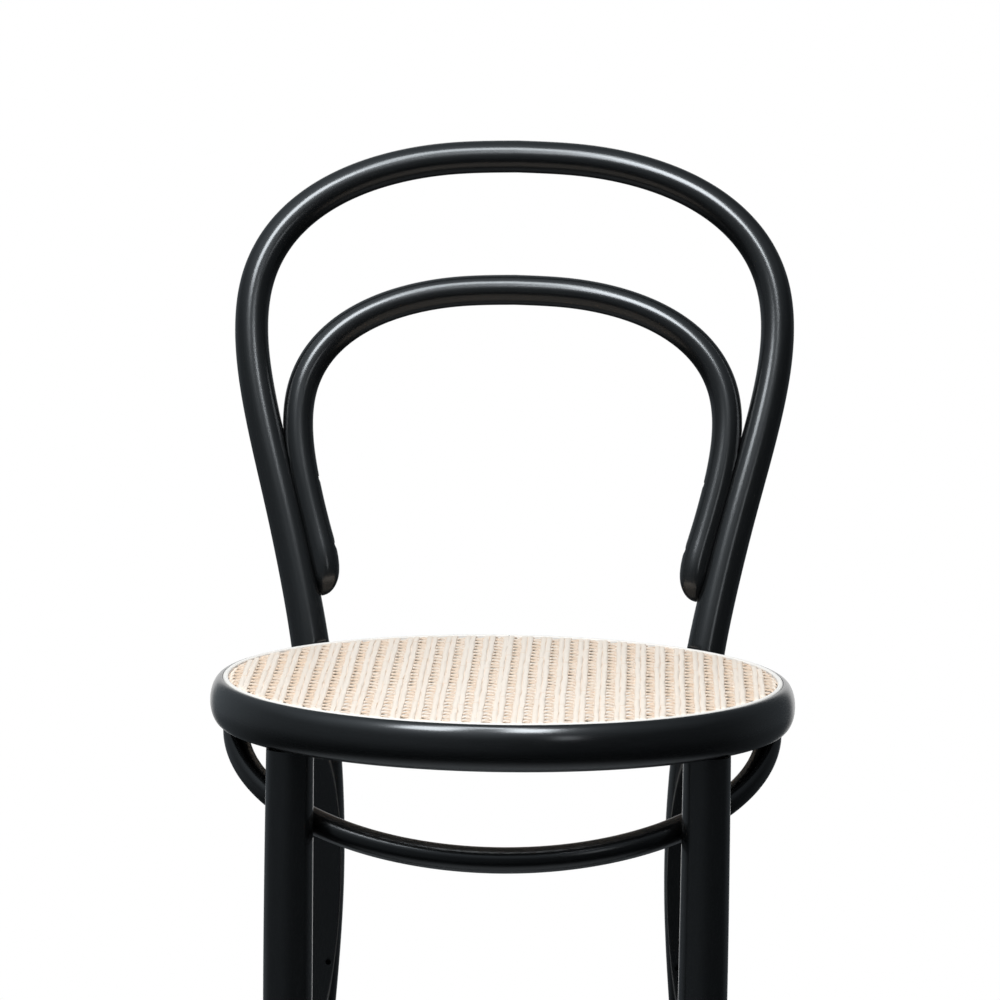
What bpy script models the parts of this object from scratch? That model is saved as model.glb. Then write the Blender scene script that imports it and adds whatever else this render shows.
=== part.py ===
"""Bentwood bar stool with a cane seat.

Metres, +Z up, the floor at z = 0, the front towards -Y.
Every piece is built about the seat's vertical axis and hangs on one empty, which puts
the origin in the middle of the stool's depth.
"""

import math

import bmesh
import bpy
import numpy as np
from mathutils import Matrix, Vector

# Fits
CLEARANCE = 0.0003            # gap between pieces that touch
COPE_DEPTH = 0.0012           # how far a rod is scribed round the leg that it is screwed to
CUT_MARGIN = 0.030            # how far a cutter runs past the surface that it opens
SAME_PLACE = 1e-6             # nearer points count as one place
HALVINGS = 40                 # rounds of a search by halving

# Seat ring
SEAT_HEIGHT = 0.760           # floor to the top of the ring and of the cane
SEAT_RADIUS = 0.210
RING_HEIGHT = 0.033
RING_WIDTH = 0.038            # from the outer face to the inner wall
RING_ROUNDING = 0.0087        # radial depth of the rounded outer face
RING_INNER_FILLET = 0.004
RING_FACE_STEPS = 8
RING_SEGMENTS = 52

# Cane and its spline
GROOVE_DEPTH = 0.0090
SPLINE_WIDTH = 0.0038
SPLINE_PROUD = 0.0008         # how far the spline stands above the ring
SPLINE_BASE_GAP = 0.0010      # glue under the spline
SPLINE_BEVEL = 0.0009
CANE_THICKNESS = 0.0015
CANE_TUCK = 0.0060            # how far the cane turns down into the groove
CANE_PITCH = 0.0282           # two meshes of the real weave
CANE_HOLE = 0.0190            # across the flats of one octagon
CANE_BORDER = 0.0015          # closed border inside the groove

# Back hoop, whose ends are the rear legs
HOOP_RISE = 0.3536            # rod centre at the crown, above the seat
HOOP_INSET = 0.0130           # from the ring's outer face to the rod's centre at the widest place
HOOP_WIDEST_RISE = 0.228
ARCH_SQUARENESS = 2.35        # exponent of the bending formers: 2 is an ellipse
ARCH_STATIONS = 7
BACK_LEAN = 0.285             # metres back for each metre up
BACK_SWEEP = 0.10             # growth of the lean, per metre
UPRIGHT_INSET = 0.0625        # sideways from the ring's outer face, at the seat
UPRIGHT_BENDS = (             # rise above the seat, the same inset there
    (0.176, 0.0198),
    (0.103, 0.0387),
    (0.045, 0.0532),
)
NOTCH_DEPTH = 0.0055          # how deep the rear legs are let over the ring
WAIST_DROP = 0.180            # below the seat
WAIST_INSET = 0.0751
WAIST_FORWARD = 0.025         # in front of the legs' place at the seat
KNEE_DROP = 0.270
KNEE_INSET = 0.0704
KNEE_FORWARD = 0.019
SHIN_DROP = 0.500
SHIN_INSET = 0.0490
SHIN_BACK = 0.026
FOOT_INSET = 0.0220
FOOT_BACK = 0.112             # behind the legs' place at the seat
HOOP_CROWN_DIAMETER = 0.0243
HOOP_SIDE_DIAMETER = 0.0250
HOOP_SEAT_DIAMETER = 0.0284
REAR_WAIST_DIAMETER = 0.0320
REAR_FOOT_DIAMETER = 0.0270
HOOP_SIDES = 14
HOOP_STEPS = 3                # between stations

# Planed flat on the front of each rear leg
FLAT_OFFSET = 0.0060          # from the rod's centre line at the waist
FLAT_TURN = math.radians(8)   # turned away from the middle
FLAT_LENGTH = 0.260
FLAT_HOLE_DROP = 0.237
FLAT_HOLE_INSET = 0.006       # from the rod's centre towards the middle
FLAT_HOLE_DIAMETER = 0.0042
FLAT_HOLE_DEPTH = 0.012

# Inner loop
LOOP_RISE = 0.2561
LOOP_INSET = 0.0497           # from the ring's outer face to the rod's centre at the widest place
LOOP_WIDEST_RISE = 0.158
LOOP_DIAMETER = 0.0227
LOOP_COPE = 0.0042            # how deep the loop is scribed over the uprights
LOOP_BENDS = (                # rise above the seat, share of the diameter: the rounded end comes last
    (0.117, 1.00),
    (0.074, 1.00),
    (0.055, 1.00),
    (0.0440, 0.84),
    (0.0372, 0.54),
    (0.0334, 0.20),
)
LOOP_SIDES = 12
LOOP_STEPS = 2                # between stations

# Front legs
FRONT_SIDE_INSET = 0.0638     # sideways from the ring's outer face to the leg's axis
FRONT_INSET = 0.021           # the same along the ring's radius
FRONT_TOP_DIAMETER = 0.0335
FRONT_SWELL_DIAMETER = 0.0348
FRONT_SWELL_DROP = 0.200
FRONT_BEND_HEIGHT = 0.330
FRONT_BEND_DIAMETER = 0.0325
FRONT_FOOT_DIAMETER = 0.0260
FRONT_FLARE = 0.018           # outward bend at the foot
TENON_DIAMETER = 0.020
TENON_LENGTH = 0.021
LEG_SIDES = 14
LEG_STEPS = 5                 # between stations

# Bow under the seat
BOW_DIAMETER = 0.0186
BOW_INSET = 0.0185            # from the ring's outer face to the rod's centre at the ends
BOW_DROP = 0.107              # rod centre at the front, below the seat
BOW_END_DROP = 0.0355         # the same at the sides
BOW_SWEEP = math.radians(102)  # from the front to beyond the ends, before they are planed
BOW_LEG_ANGLES = (15.0, 80.0)  # degrees from the front between which the bow meets a leg
BOW_DEPTH_SHARES = (0.25, 0.95)  # of the seat's radius, between which the bow's depth lies
BOW_STEPS = 34
BOW_SIDES = 12

# Foot ring
FOOT_RING_HEIGHT = 0.300
FOOT_RING_DIAMETER = 0.0220
FOOT_RING_STEPS = 44

# Fasteners
SCREW_SIDES = 10
SCREW_HEAD_DIAMETER = 0.0080
SCREW_SHANK_DIAMETER = 0.0042
SCREW_TIP = 0.0040
SCREW_SINK = 0.0008           # head below the rod's surface
LOOP_SCREW_RISES = (0.118, 0.070)
LOOP_SCREW_LENGTH = 0.030
BOW_LEG_SCREW_LENGTH = 0.032
BOW_SEAT_SCREW_LENGTH = 0.030
BOW_SEAT_SCREW_DROP = 0.0030  # rod centre below the ring where this screw goes in
FOOT_RING_SCREW_LENGTH = 0.034
BOLT_DIAMETER = 0.0060
BOLT_HEAD_DIAMETER = 0.0150
BOLT_HEAD_HEIGHT = 0.0036
BOLT_DOME = ((0.0, 1.0), (0.6, 0.8), (1.0, 0.25))  # shares of the head's radius and height
BOLT_HEAD_SINK = 0.0030       # depth of the counterbore in the rear leg
BOLT_SIDES = 12
BOLT_TAIL = 0.0020            # past the nut
WASHER_DIAMETER = 0.0160
WASHER_THICKNESS = 0.0015
NUT_WIDTH = 0.0100            # across the flats
NUT_THICKNESS = 0.0050

# Glides
GLIDE_DIAMETER = 0.0220
GLIDE_THICKNESS = 0.0040
GLIDE_BEVEL = 0.0010
GLIDE_PIN_DIAMETER = 0.0045
GLIDE_PIN_LENGTH = 0.0140
GLIDE_SIDES = 12

# Looks
SHARP_ANGLE = math.radians(35)
LACQUER = ("black_lacquer", (0.0116, 0.0124, 0.0132), 0.36, 0.0)
CANE = ("woven_cane", (0.86, 0.74, 0.60), 0.55, 0.0)
REED = ("pale_reed", (0.93, 0.88, 0.80), 0.50, 0.0)
STEEL = ("zinc_plated_steel", (0.56, 0.56, 0.54), 0.35, 1.0)
BROWNED = ("browned_screw", (0.060, 0.050, 0.042), 0.40, 1.0)
NYLON = ("grey_nylon", (0.05, 0.05, 0.05), 0.55, 0.0)

# Places that follow from the sizes above
RING_BOTTOM = SEAT_HEIGHT - RING_HEIGHT
RING_INNER_RADIUS = SEAT_RADIUS - RING_WIDTH
GROOVE_OUTER_RADIUS = SEAT_RADIUS - RING_ROUNDING
SPLINE_OUTER_RADIUS = GROOVE_OUTER_RADIUS - CLEARANCE
SPLINE_INNER_RADIUS = SPLINE_OUTER_RADIUS - SPLINE_WIDTH
CANE_RADIUS = SPLINE_INNER_RADIUS - CLEARANCE
GROOVE_INNER_RADIUS = CANE_RADIUS - CANE_THICKNESS - CLEARANCE
BOLT_HEIGHT = SEAT_HEIGHT - RING_HEIGHT / 2
HOOP_HALF_WIDTH = SEAT_RADIUS - HOOP_INSET
LOOP_HALF_WIDTH = SEAT_RADIUS - LOOP_INSET
UPRIGHT_HALF_SPACING = SEAT_RADIUS - UPRIGHT_INSET
FRONT_HALF_SPACING = SEAT_RADIUS - FRONT_SIDE_INSET
WAIST_HALF_SPACING = SEAT_RADIUS - WAIST_INSET
JOINT_RADIUS = SEAT_RADIUS + HOOP_SEAT_DIAMETER / 2 - NOTCH_DEPTH
JOINT_BACK = math.sqrt(JOINT_RADIUS ** 2 - UPRIGHT_HALF_SPACING ** 2)
FOOT_HEIGHT = GLIDE_THICKNESS + CLEARANCE
SEAT_CENTRE_Y = (SEAT_RADIUS - JOINT_BACK - FOOT_BACK - REAR_FOOT_DIAMETER / 2) / 2
SIDES = (("left", -1), ("right", 1))


# Scene helpers

def clear_scene():
    for item in list(bpy.data.objects):
        bpy.data.objects.remove(item, do_unlink=True)


def make_material(look):
    name, colour, roughness, metallic = look
    material = bpy.data.materials.get(name) or bpy.data.materials.new(name)
    material.use_nodes = True
    shader = material.node_tree.nodes["Principled BSDF"]
    shader.inputs["Base Color"].default_value = (*colour, 1.0)
    shader.inputs["Roughness"].default_value = roughness
    shader.inputs["Metallic"].default_value = metallic
    material.diffuse_color = (*colour, 1.0)
    return material


def add_piece(name, bm, root, look=None, matrix=None):
    """Turn a bmesh into an object on the root. A piece without a look is a cutter."""
    bmesh.ops.recalc_face_normals(bm, faces=bm.faces)
    mesh = bpy.data.meshes.new(name)
    bm.to_mesh(mesh)
    bm.free()
    mesh.shade_smooth()
    mesh.set_sharp_from_angle(angle=SHARP_ANGLE)
    piece = bpy.data.objects.new(name, mesh)
    bpy.context.scene.collection.objects.link(piece)
    piece.parent = root
    if matrix is not None:
        piece.matrix_local = matrix
    if look is None:
        piece.hide_render = True
        piece.display_type = "WIRE"
    else:
        mesh.materials.append(make_material(look))
    return piece


def cut(piece, cutters):
    for cutter in cutters:
        modifier = piece.modifiers.new("cut_" + cutter.name, "BOOLEAN")
        modifier.operation = "DIFFERENCE"
        modifier.solver = "EXACT"
        modifier.object = cutter


# Shape helpers

def aim(point, direction):
    """Matrix with its origin at the point and its local +Z along the direction."""
    turn = Vector(direction).to_track_quat("Z", "Y").to_matrix().to_4x4()
    return Matrix.Translation(Vector(point)) @ turn


def smooth(stations, steps):
    """Natural cubic curve through the stations, with the given steps to each interval."""
    knots = np.array(stations, dtype=float)
    chords = np.linalg.norm(np.diff(knots[:, :3], axis=0), axis=1)
    count = len(knots)
    system = np.eye(count)
    right = np.zeros_like(knots)
    for i in range(1, count - 1):
        system[i, i - 1] = chords[i - 1]
        system[i, i] = 2 * (chords[i - 1] + chords[i])
        system[i, i + 1] = chords[i]
        rise = (knots[i + 1] - knots[i]) / chords[i] - (knots[i] - knots[i - 1]) / chords[i - 1]
        right[i] = 6 * rise
    bend = np.linalg.solve(system, right)
    curve = [knots[0]]
    for i, chord in enumerate(chords):
        for share in np.arange(1, steps + 1) / steps:
            rest = 1 - share
            line = rest * knots[i] + share * knots[i + 1]
            curl = (rest ** 3 - rest) * bend[i] + (share ** 3 - share) * bend[i + 1]
            curve.append(line + curl * chord ** 2 / 6)
    return np.array(curve)


def join_rings(bm, rings, closed):
    pairs = list(zip(rings, rings[1:]))
    if closed:
        pairs.append((rings[-1], rings[0]))
    for low, high in pairs:
        for i in range(len(low)):
            j = (i + 1) % len(low)
            bm.faces.new((low[i], low[j], high[j], high[i]))


def rod(curve, sides, reference, grow=0.0, closed=False, level_ends=(False, False)):
    """Sweep a round section along a curve of (x, y, z, radius) rows.

    The reference direction keeps the section from twisting. A level end is cut horizontal.
    """
    bm = bmesh.new()
    points = curve[:, :3]
    if closed:
        tangents = np.roll(points, -1, axis=0) - np.roll(points, 1, axis=0)
    else:
        tangents = np.gradient(points, axis=0)
    rings = []
    for i, (centre, tangent, radius) in enumerate(zip(points, tangents, curve[:, 3])):
        tangent = tangent / np.linalg.norm(tangent)
        across = np.array(reference) - np.dot(reference, tangent) * tangent
        across = across / np.linalg.norm(across)
        side = np.cross(tangent, across)
        level = (i == 0 and level_ends[0]) or (i == len(points) - 1 and level_ends[1])
        ring = []
        for k in range(sides):
            angle = 2 * math.pi * (k + 0.5) / sides
            spoke = math.cos(angle) * across + math.sin(angle) * side
            place = centre + (radius + grow) * spoke
            if level:
                place = place - tangent * (place[2] - centre[2]) / tangent[2]
            ring.append(bm.verts.new(place))
        rings.append(ring)
    join_rings(bm, rings, closed)
    if not closed:
        bm.faces.new(rings[0][::-1])
        bm.faces.new(rings[-1])
    return bm


def turned(profile, sides):
    """Solid turned about local Z from (radius, z) points that start and end on the axis."""
    bm = bmesh.new()
    start = bm.verts.new((0, 0, profile[0][1]))
    end = bm.verts.new((0, 0, profile[-1][1]))
    rings = []
    for radius, z in profile[1:-1]:
        angles = [2 * math.pi * (k + 0.5) / sides for k in range(sides)]
        rings.append([bm.verts.new((radius * math.cos(a), radius * math.sin(a), z)) for a in angles])
    join_rings(bm, rings, closed=False)
    for k in range(sides):
        nxt = (k + 1) % sides
        bm.faces.new((start, rings[0][nxt], rings[0][k]))
        bm.faces.new((end, rings[-1][k], rings[-1][nxt]))
    return bm


def turned_ring(profile, segments):
    """Ring turned about the seat's axis from a closed outline of (radius, z) points."""
    bm = bmesh.new()
    rings = []
    for k in range(segments):
        angle = 2 * math.pi * k / segments
        ring = [bm.verts.new((r * math.cos(angle), r * math.sin(angle), z)) for r, z in profile]
        rings.append(ring)
    join_rings(bm, rings, closed=True)
    return bm


def box(size):
    bm = bmesh.new()
    bmesh.ops.create_cube(bm, size=1.0)
    bmesh.ops.scale(bm, verts=bm.verts, vec=size)
    return bm


def at_height(curve, height):
    """Row of a falling curve at a height."""
    order = np.argsort(curve[:, 2])
    return np.array([np.interp(height, curve[order, 2], curve[order, k]) for k in range(4)])


def mirrored(curve):
    """Whole symmetric curve, right to left, from its right half that starts at x = 0."""
    other = curve[1:] * np.array([-1, 1, 1, 1])
    return np.vstack([curve[::-1], other])


# Centre lines

def back_place(rise):
    """Depth of the back's surface at a rise above the seat."""
    return JOINT_BACK + BACK_LEAN * rise + BACK_SWEEP * rise ** 2


def arch(half_width, widest_rise, crown_rise):
    """Half width and rise along a bent arch, from its crown to its widest place."""
    for i in range(ARCH_STATIONS + 1):
        angle = math.pi / 2 * i / ARCH_STATIONS
        half = half_width * math.sin(angle) ** (2 / ARCH_SQUARENESS)
        rise = widest_rise + (crown_rise - widest_rise) * math.cos(angle) ** (2 / ARCH_SQUARENESS)
        yield half, rise


def hoop_curve():
    """Right half of the back hoop, from the crown to the foot."""
    rows = []
    for half, rise in arch(HOOP_HALF_WIDTH, HOOP_WIDEST_RISE, HOOP_RISE):
        share = half / HOOP_HALF_WIDTH
        diameter = HOOP_CROWN_DIAMETER + (HOOP_SIDE_DIAMETER - HOOP_CROWN_DIAMETER) * share ** 2
        rows.append((half, back_place(rise), SEAT_HEIGHT + rise, diameter / 2))
    for rise, inset in UPRIGHT_BENDS:
        share = 1 - rise / HOOP_WIDEST_RISE
        diameter = HOOP_SIDE_DIAMETER + (HOOP_SEAT_DIAMETER - HOOP_SIDE_DIAMETER) * share
        rows.append((SEAT_RADIUS - inset, back_place(rise), SEAT_HEIGHT + rise, diameter / 2))
    rows.append((UPRIGHT_HALF_SPACING, JOINT_BACK, SEAT_HEIGHT, HOOP_SEAT_DIAMETER / 2))
    knee_diameter = (2 * REAR_WAIST_DIAMETER + REAR_FOOT_DIAMETER) / 3
    shin_diameter = (REAR_WAIST_DIAMETER + REAR_FOOT_DIAMETER) / 2
    for drop, inset, back, diameter in (
        (WAIST_DROP, WAIST_INSET, -WAIST_FORWARD, REAR_WAIST_DIAMETER),
        (KNEE_DROP, KNEE_INSET, -KNEE_FORWARD, knee_diameter),
        (SHIN_DROP, SHIN_INSET, SHIN_BACK, shin_diameter),
        (SEAT_HEIGHT - FOOT_HEIGHT, FOOT_INSET, FOOT_BACK, REAR_FOOT_DIAMETER),
    ):
        rows.append((SEAT_RADIUS - inset, JOINT_BACK + back, SEAT_HEIGHT - drop, diameter / 2))
    return smooth(rows, HOOP_STEPS)


def loop_curve(hoop):
    """Right half of the inner loop, from its crown to its rounded end against the upright."""
    rows = []
    for half, rise in arch(LOOP_HALF_WIDTH, LOOP_WIDEST_RISE, LOOP_RISE):
        rows.append((half, back_place(rise), SEAT_HEIGHT + rise, LOOP_DIAMETER / 2))
    for rise, share in LOOP_BENDS:
        height = SEAT_HEIGHT + rise
        upright = at_height(hoop, height)
        radius = share * LOOP_DIAMETER / 2
        half = upright[0] - (upright[3] + radius - LOOP_COPE)
        rows.append((half, back_place(rise), height, radius))
    return smooth(rows, LOOP_STEPS)


def front_leg_curve(side):
    """Front leg from under the ring to the floor, without its tenon."""
    radius = SEAT_RADIUS - FRONT_INSET
    back = -math.sqrt(radius ** 2 - FRONT_HALF_SPACING ** 2)
    out = np.array([side * FRONT_HALF_SPACING, back]) / radius
    top = RING_BOTTOM - CLEARANCE
    rows = []
    for height, flare, diameter in (
        (top, 0.0, FRONT_TOP_DIAMETER),
        (SEAT_HEIGHT - FRONT_SWELL_DROP, 0.0, FRONT_SWELL_DIAMETER),
        (FRONT_BEND_HEIGHT, 0.0, FRONT_BEND_DIAMETER),
        (FOOT_HEIGHT, FRONT_FLARE, FRONT_FOOT_DIAMETER),
    ):
        place = (radius + flare) * out
        rows.append((place[0], place[1], height, diameter / 2))
    return smooth(rows, LEG_STEPS)


def bow_point(angle, depth):
    """Centre of the bow: a half ellipse in plan that climbs from the front to its ends."""
    climb = BOW_END_DROP + (BOW_DROP - BOW_END_DROP) * math.cos(angle)
    return np.array([
        (SEAT_RADIUS - BOW_INSET) * math.sin(angle),
        -depth * math.cos(angle),
        SEAT_HEIGHT - climb,
        BOW_DIAMETER / 2,
    ])


def bow_contact(depth, leg):
    """Nearest place of the bow to the right front leg's axis, and its distance in plan."""
    best = None
    for angle in np.radians(np.arange(*BOW_LEG_ANGLES, 0.1)):
        point = bow_point(angle, depth)
        axis = at_height(leg, point[2])
        gap = np.linalg.norm(point[:2] - axis[:2])
        if best is None or gap < best[0]:
            best = (gap, point, axis)
    return best


def bow_depth(leg):
    """Depth in plan that lays the bow against the inner side of the front legs."""
    low, high = (share * SEAT_RADIUS for share in BOW_DEPTH_SHARES)
    for _ in range(HALVINGS):
        depth = (low + high) / 2
        gap, point, axis = bow_contact(depth, leg)
        inside = np.hypot(*point[:2]) < np.hypot(*axis[:2])
        if inside and gap > axis[3] + BOW_DIAMETER / 2 - COPE_DEPTH:
            low = depth
        else:
            high = depth
    return low


def foot_ring_circle(rear, front):
    """Centre depth and radius of the circle that lies against all four legs."""
    def reach(leg, centre):
        return math.hypot(leg[0], leg[1] - centre) - leg[3]

    low = front[1]
    high = rear[1]
    for _ in range(HALVINGS):
        centre = (low + high) / 2
        if reach(rear, centre) > reach(front, centre):
            low = centre
        else:
            high = centre
    return centre, reach(rear, centre) - FOOT_RING_DIAMETER / 2 + COPE_DEPTH


# Fasteners

def screw_profile(length, grow=0.0, lead=0.0):
    """Countersunk wood screw along +Z, its head flat at z = 0. Grow and lead make its hole."""
    head = SCREW_HEAD_DIAMETER / 2 + grow
    shank = SCREW_SHANK_DIAMETER / 2 + grow
    neck = (SCREW_HEAD_DIAMETER - SCREW_SHANK_DIAMETER) / 2
    profile = [(0, -lead), (head, -lead)]
    if lead:
        profile.append((head, grow))
    profile += [(shank, neck + grow), (shank, length - SCREW_TIP + grow), (0, length + grow)]
    return profile


def add_screw(name, head, direction, length, root, look):
    """Screw with its head at a point, and the cutter for its hole."""
    matrix = aim(head, direction)
    add_piece(name, turned(screw_profile(length), SCREW_SIDES), root, look, matrix)
    hole = turned(screw_profile(length, CLEARANCE, CUT_MARGIN), SCREW_SIDES)
    return add_piece(name + "_hole", hole, root, None, matrix)


def add_cross_screw(name, rod_row, leg_row, length, root):
    """Screw that goes through a rod into the leg beside it, along their shortest line."""
    start = Vector(rod_row[:3])
    direction = (Vector(leg_row[:3]) - start).normalized()
    head = start - direction * (rod_row[3] - SCREW_SINK)
    return add_screw(name, head, direction, length, root, BROWNED)


def add_seat_bolt(side_name, side, hoop, root):
    """Carriage bolt, washer and nut that hold a rear leg on the ring."""
    leg = at_height(hoop, BOLT_HEIGHT)
    axis = Vector((side * leg[0], leg[1], BOLT_HEIGHT))
    inward = Vector((-axis.x, -axis.y, 0)).normalized()
    matrix = aim(axis - inward * (leg[3] - BOLT_HEAD_SINK), inward)
    reach = math.hypot(axis.x, axis.y) + leg[3] - BOLT_HEAD_SINK
    wall = math.sqrt(RING_INNER_RADIUS ** 2 - (WASHER_DIAMETER / 2) ** 2) - 2 * CLEARANCE
    wall_at = reach - wall
    nut_at = wall_at + WASHER_THICKNESS + CLEARANCE
    tail = nut_at + NUT_THICKNESS + BOLT_TAIL
    head = BOLT_HEAD_DIAMETER / 2
    shank = BOLT_DIAMETER / 2
    bore = shank + CLEARANCE
    dome = [(wide * head, -high * BOLT_HEAD_HEIGHT) for wide, high in BOLT_DOME]
    bolt = dome + [(head, 0), (shank, 0), (shank, tail), (0, tail)]
    add_piece("seat_bolt_" + side_name, turned(bolt, BOLT_SIDES), root, STEEL, matrix)
    hole = [
        (0, -CUT_MARGIN), (head + CLEARANCE, -CUT_MARGIN), (head + CLEARANCE, CLEARANCE),
        (bore, CLEARANCE), (bore, tail + CUT_MARGIN), (0, tail + CUT_MARGIN),
    ]
    hole_cutter = add_piece("seat_bolt_hole_" + side_name, turned(hole, BOLT_SIDES), root, None, matrix)
    add_collar("seat_washer_" + side_name, WASHER_DIAMETER / 2, bore, wall_at, WASHER_THICKNESS,
               BOLT_SIDES, root, matrix)
    nut_radius = NUT_WIDTH / 2 / math.cos(math.pi / 6)
    add_collar("seat_nut_" + side_name, nut_radius, bore, nut_at, NUT_THICKNESS, 6, root, matrix)
    return hole_cutter


def add_collar(name, outer, bore, start, thickness, outer_sides, root, matrix):
    """Washer or nut: a prism with a round bore that keeps clear of the bolt's corners."""
    bm = bmesh.new()
    rings = []
    bore_radius = bore / math.cos(math.pi / BOLT_SIDES)
    for z in (start, start + thickness):
        for radius, count in ((outer, outer_sides), (bore_radius, BOLT_SIDES)):
            angles = [2 * math.pi * (k + 0.5) / count for k in range(count)]
            rings.append([bm.verts.new((radius * math.cos(a), radius * math.sin(a), z)) for a in angles])
    low_outer, low_bore, high_outer, high_bore = rings
    join_rings(bm, [low_outer, high_outer], closed=False)
    join_rings(bm, [high_bore, low_bore], closed=False)
    for ring_pair in ((low_outer, low_bore), (high_outer, high_bore)):
        edges = []
        for ring in ring_pair:
            for i in range(len(ring)):
                edges.append(bm.edges.get((ring[i], ring[(i + 1) % len(ring)])))
        bmesh.ops.triangle_fill(bm, use_beauty=True, edges=edges)
    return add_piece(name, bm, root, STEEL, matrix)


def add_glide(name, foot, root):
    """Push-in glide under a foot, and the cutter for its pin's hole."""
    base = GLIDE_DIAMETER / 2
    pin = GLIDE_PIN_DIAMETER / 2
    top = GLIDE_THICKNESS + GLIDE_PIN_LENGTH
    profile = [
        (0, 0), (base - GLIDE_BEVEL, 0), (base, GLIDE_BEVEL), (base, GLIDE_THICKNESS),
        (pin, GLIDE_THICKNESS), (pin, top), (0, top),
    ]
    matrix = Matrix.Translation((foot[0], foot[1], 0))
    add_piece(name, turned(profile, GLIDE_SIDES), root, NYLON, matrix)
    bore = pin + CLEARANCE
    hole = [(0, -CUT_MARGIN), (bore, -CUT_MARGIN), (bore, top + CLEARANCE), (0, top + CLEARANCE)]
    return add_piece(name + "_hole", turned(hole, GLIDE_SIDES), root, None, matrix)


# Seat

def ring_face(grow):
    """Rounded outer face of the ring, from its top edge to its bottom edge."""
    middle = SEAT_HEIGHT - RING_HEIGHT / 2
    for i in range(RING_FACE_STEPS + 1):
        angle = math.pi / 2 - math.pi * i / RING_FACE_STEPS
        radius = GROOVE_OUTER_RADIUS + (RING_ROUNDING + grow) * math.cos(angle)
        yield radius, middle + (RING_HEIGHT / 2 + grow) * math.sin(angle)


def add_seat_ring(root):
    groove_floor = SEAT_HEIGHT - GROOVE_DEPTH
    land = SEAT_HEIGHT - CANE_THICKNESS - CLEARANCE
    profile = list(ring_face(0.0))
    profile += [
        (RING_INNER_RADIUS + RING_INNER_FILLET, RING_BOTTOM),
        (RING_INNER_RADIUS, RING_BOTTOM + RING_INNER_FILLET),
        (RING_INNER_RADIUS, land - RING_INNER_FILLET / 2),
        (RING_INNER_RADIUS + RING_INNER_FILLET / 2, land),
        (GROOVE_INNER_RADIUS, land),
        (GROOVE_INNER_RADIUS, groove_floor),
        (GROOVE_OUTER_RADIUS, groove_floor),
    ]
    return add_piece("seat_ring", turned_ring(profile, RING_SEGMENTS), root, LACQUER)


def add_ring_envelope(root):
    """Cutter of the ring's outer face with its clearance, for the notches in the rear legs."""
    face = list(ring_face(CLEARANCE))
    core = RING_INNER_RADIUS
    profile = face + [(core, face[-1][1]), (core, face[0][1])]
    return add_piece("ring_envelope", turned_ring(profile, RING_SEGMENTS), root)


def add_spline(root):
    floor = SEAT_HEIGHT - GROOVE_DEPTH + SPLINE_BASE_GAP
    top = SEAT_HEIGHT + SPLINE_PROUD
    profile = [
        (SPLINE_INNER_RADIUS, floor), (SPLINE_INNER_RADIUS, top - SPLINE_BEVEL),
        (SPLINE_INNER_RADIUS + SPLINE_BEVEL, top), (SPLINE_OUTER_RADIUS - SPLINE_BEVEL, top),
        (SPLINE_OUTER_RADIUS, top - SPLINE_BEVEL), (SPLINE_OUTER_RADIUS, floor),
    ]
    return add_piece("cane_spline", turned_ring(profile, RING_SEGMENTS), root, REED)


def circle_of_edges(bm, radius, height, count):
    angles = [2 * math.pi * k / count for k in range(count)]
    ring = [bm.verts.new((radius * math.cos(a), radius * math.sin(a), height)) for a in angles]
    edges = [bm.edges.new((ring[k], ring[(k + 1) % count])) for k in range(count)]
    return ring, edges


def octagon_of_edges(bm, x, y, height):
    corner = CANE_HOLE / 2 / math.cos(math.pi / 8)
    angles = [math.pi / 8 + math.pi / 4 * k for k in range(8)]
    ring = [bm.verts.new((x + corner * math.cos(a), y + corner * math.sin(a), height)) for a in angles]
    return [bm.edges.new((ring[k], ring[(k + 1) % 8])) for k in range(8)]


def add_cane(root):
    """Cane panel: an open net of octagons, with its border turned down into the groove."""
    bm = bmesh.new()
    top = SEAT_HEIGHT
    tuck_radius = CANE_RADIUS - CANE_THICKNESS
    inner, edges = circle_of_edges(bm, tuck_radius, top, RING_SEGMENTS)
    limit = tuck_radius - CANE_BORDER - CANE_HOLE / 2 / math.cos(math.pi / 8)
    count = int(limit / CANE_PITCH) + 1
    for i in range(-count, count + 1):
        for j in range(-count, count + 1):
            if math.hypot(i, j) * CANE_PITCH < limit:
                edges += octagon_of_edges(bm, i * CANE_PITCH, j * CANE_PITCH, top)
    bmesh.ops.triangle_fill(bm, use_beauty=True, edges=edges)
    outer, _ = circle_of_edges(bm, CANE_RADIUS, top, RING_SEGMENTS)
    join_rings(bm, [inner, outer], closed=False)
    bmesh.ops.recalc_face_normals(bm, faces=bm.faces)
    sheet = bmesh.ops.extrude_face_region(bm, geom=list(bm.faces), use_keep_orig=True)
    moved = [item for item in sheet["geom"] if isinstance(item, bmesh.types.BMVert)]
    bmesh.ops.translate(bm, verts=moved, vec=(0, 0, -CANE_THICKNESS))
    bm.verts.ensure_lookup_table()
    border = []
    for face in bm.faces:
        low = all(abs(v.co.z - top + CANE_THICKNESS) < SAME_PLACE for v in face.verts)
        rim = all(v.co.xy.length > tuck_radius - SAME_PLACE for v in face.verts)
        if low and rim:
            border.append(face)
    tuck = bmesh.ops.extrude_face_region(bm, geom=border)
    moved = [item for item in tuck["geom"] if isinstance(item, bmesh.types.BMVert)]
    bmesh.ops.translate(bm, verts=moved, vec=(0, 0, CANE_THICKNESS - CANE_TUCK))
    bmesh.ops.delete(bm, geom=border, context="FACES")
    return add_piece("cane_panel", bm, root, CANE)


# Rods

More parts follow.
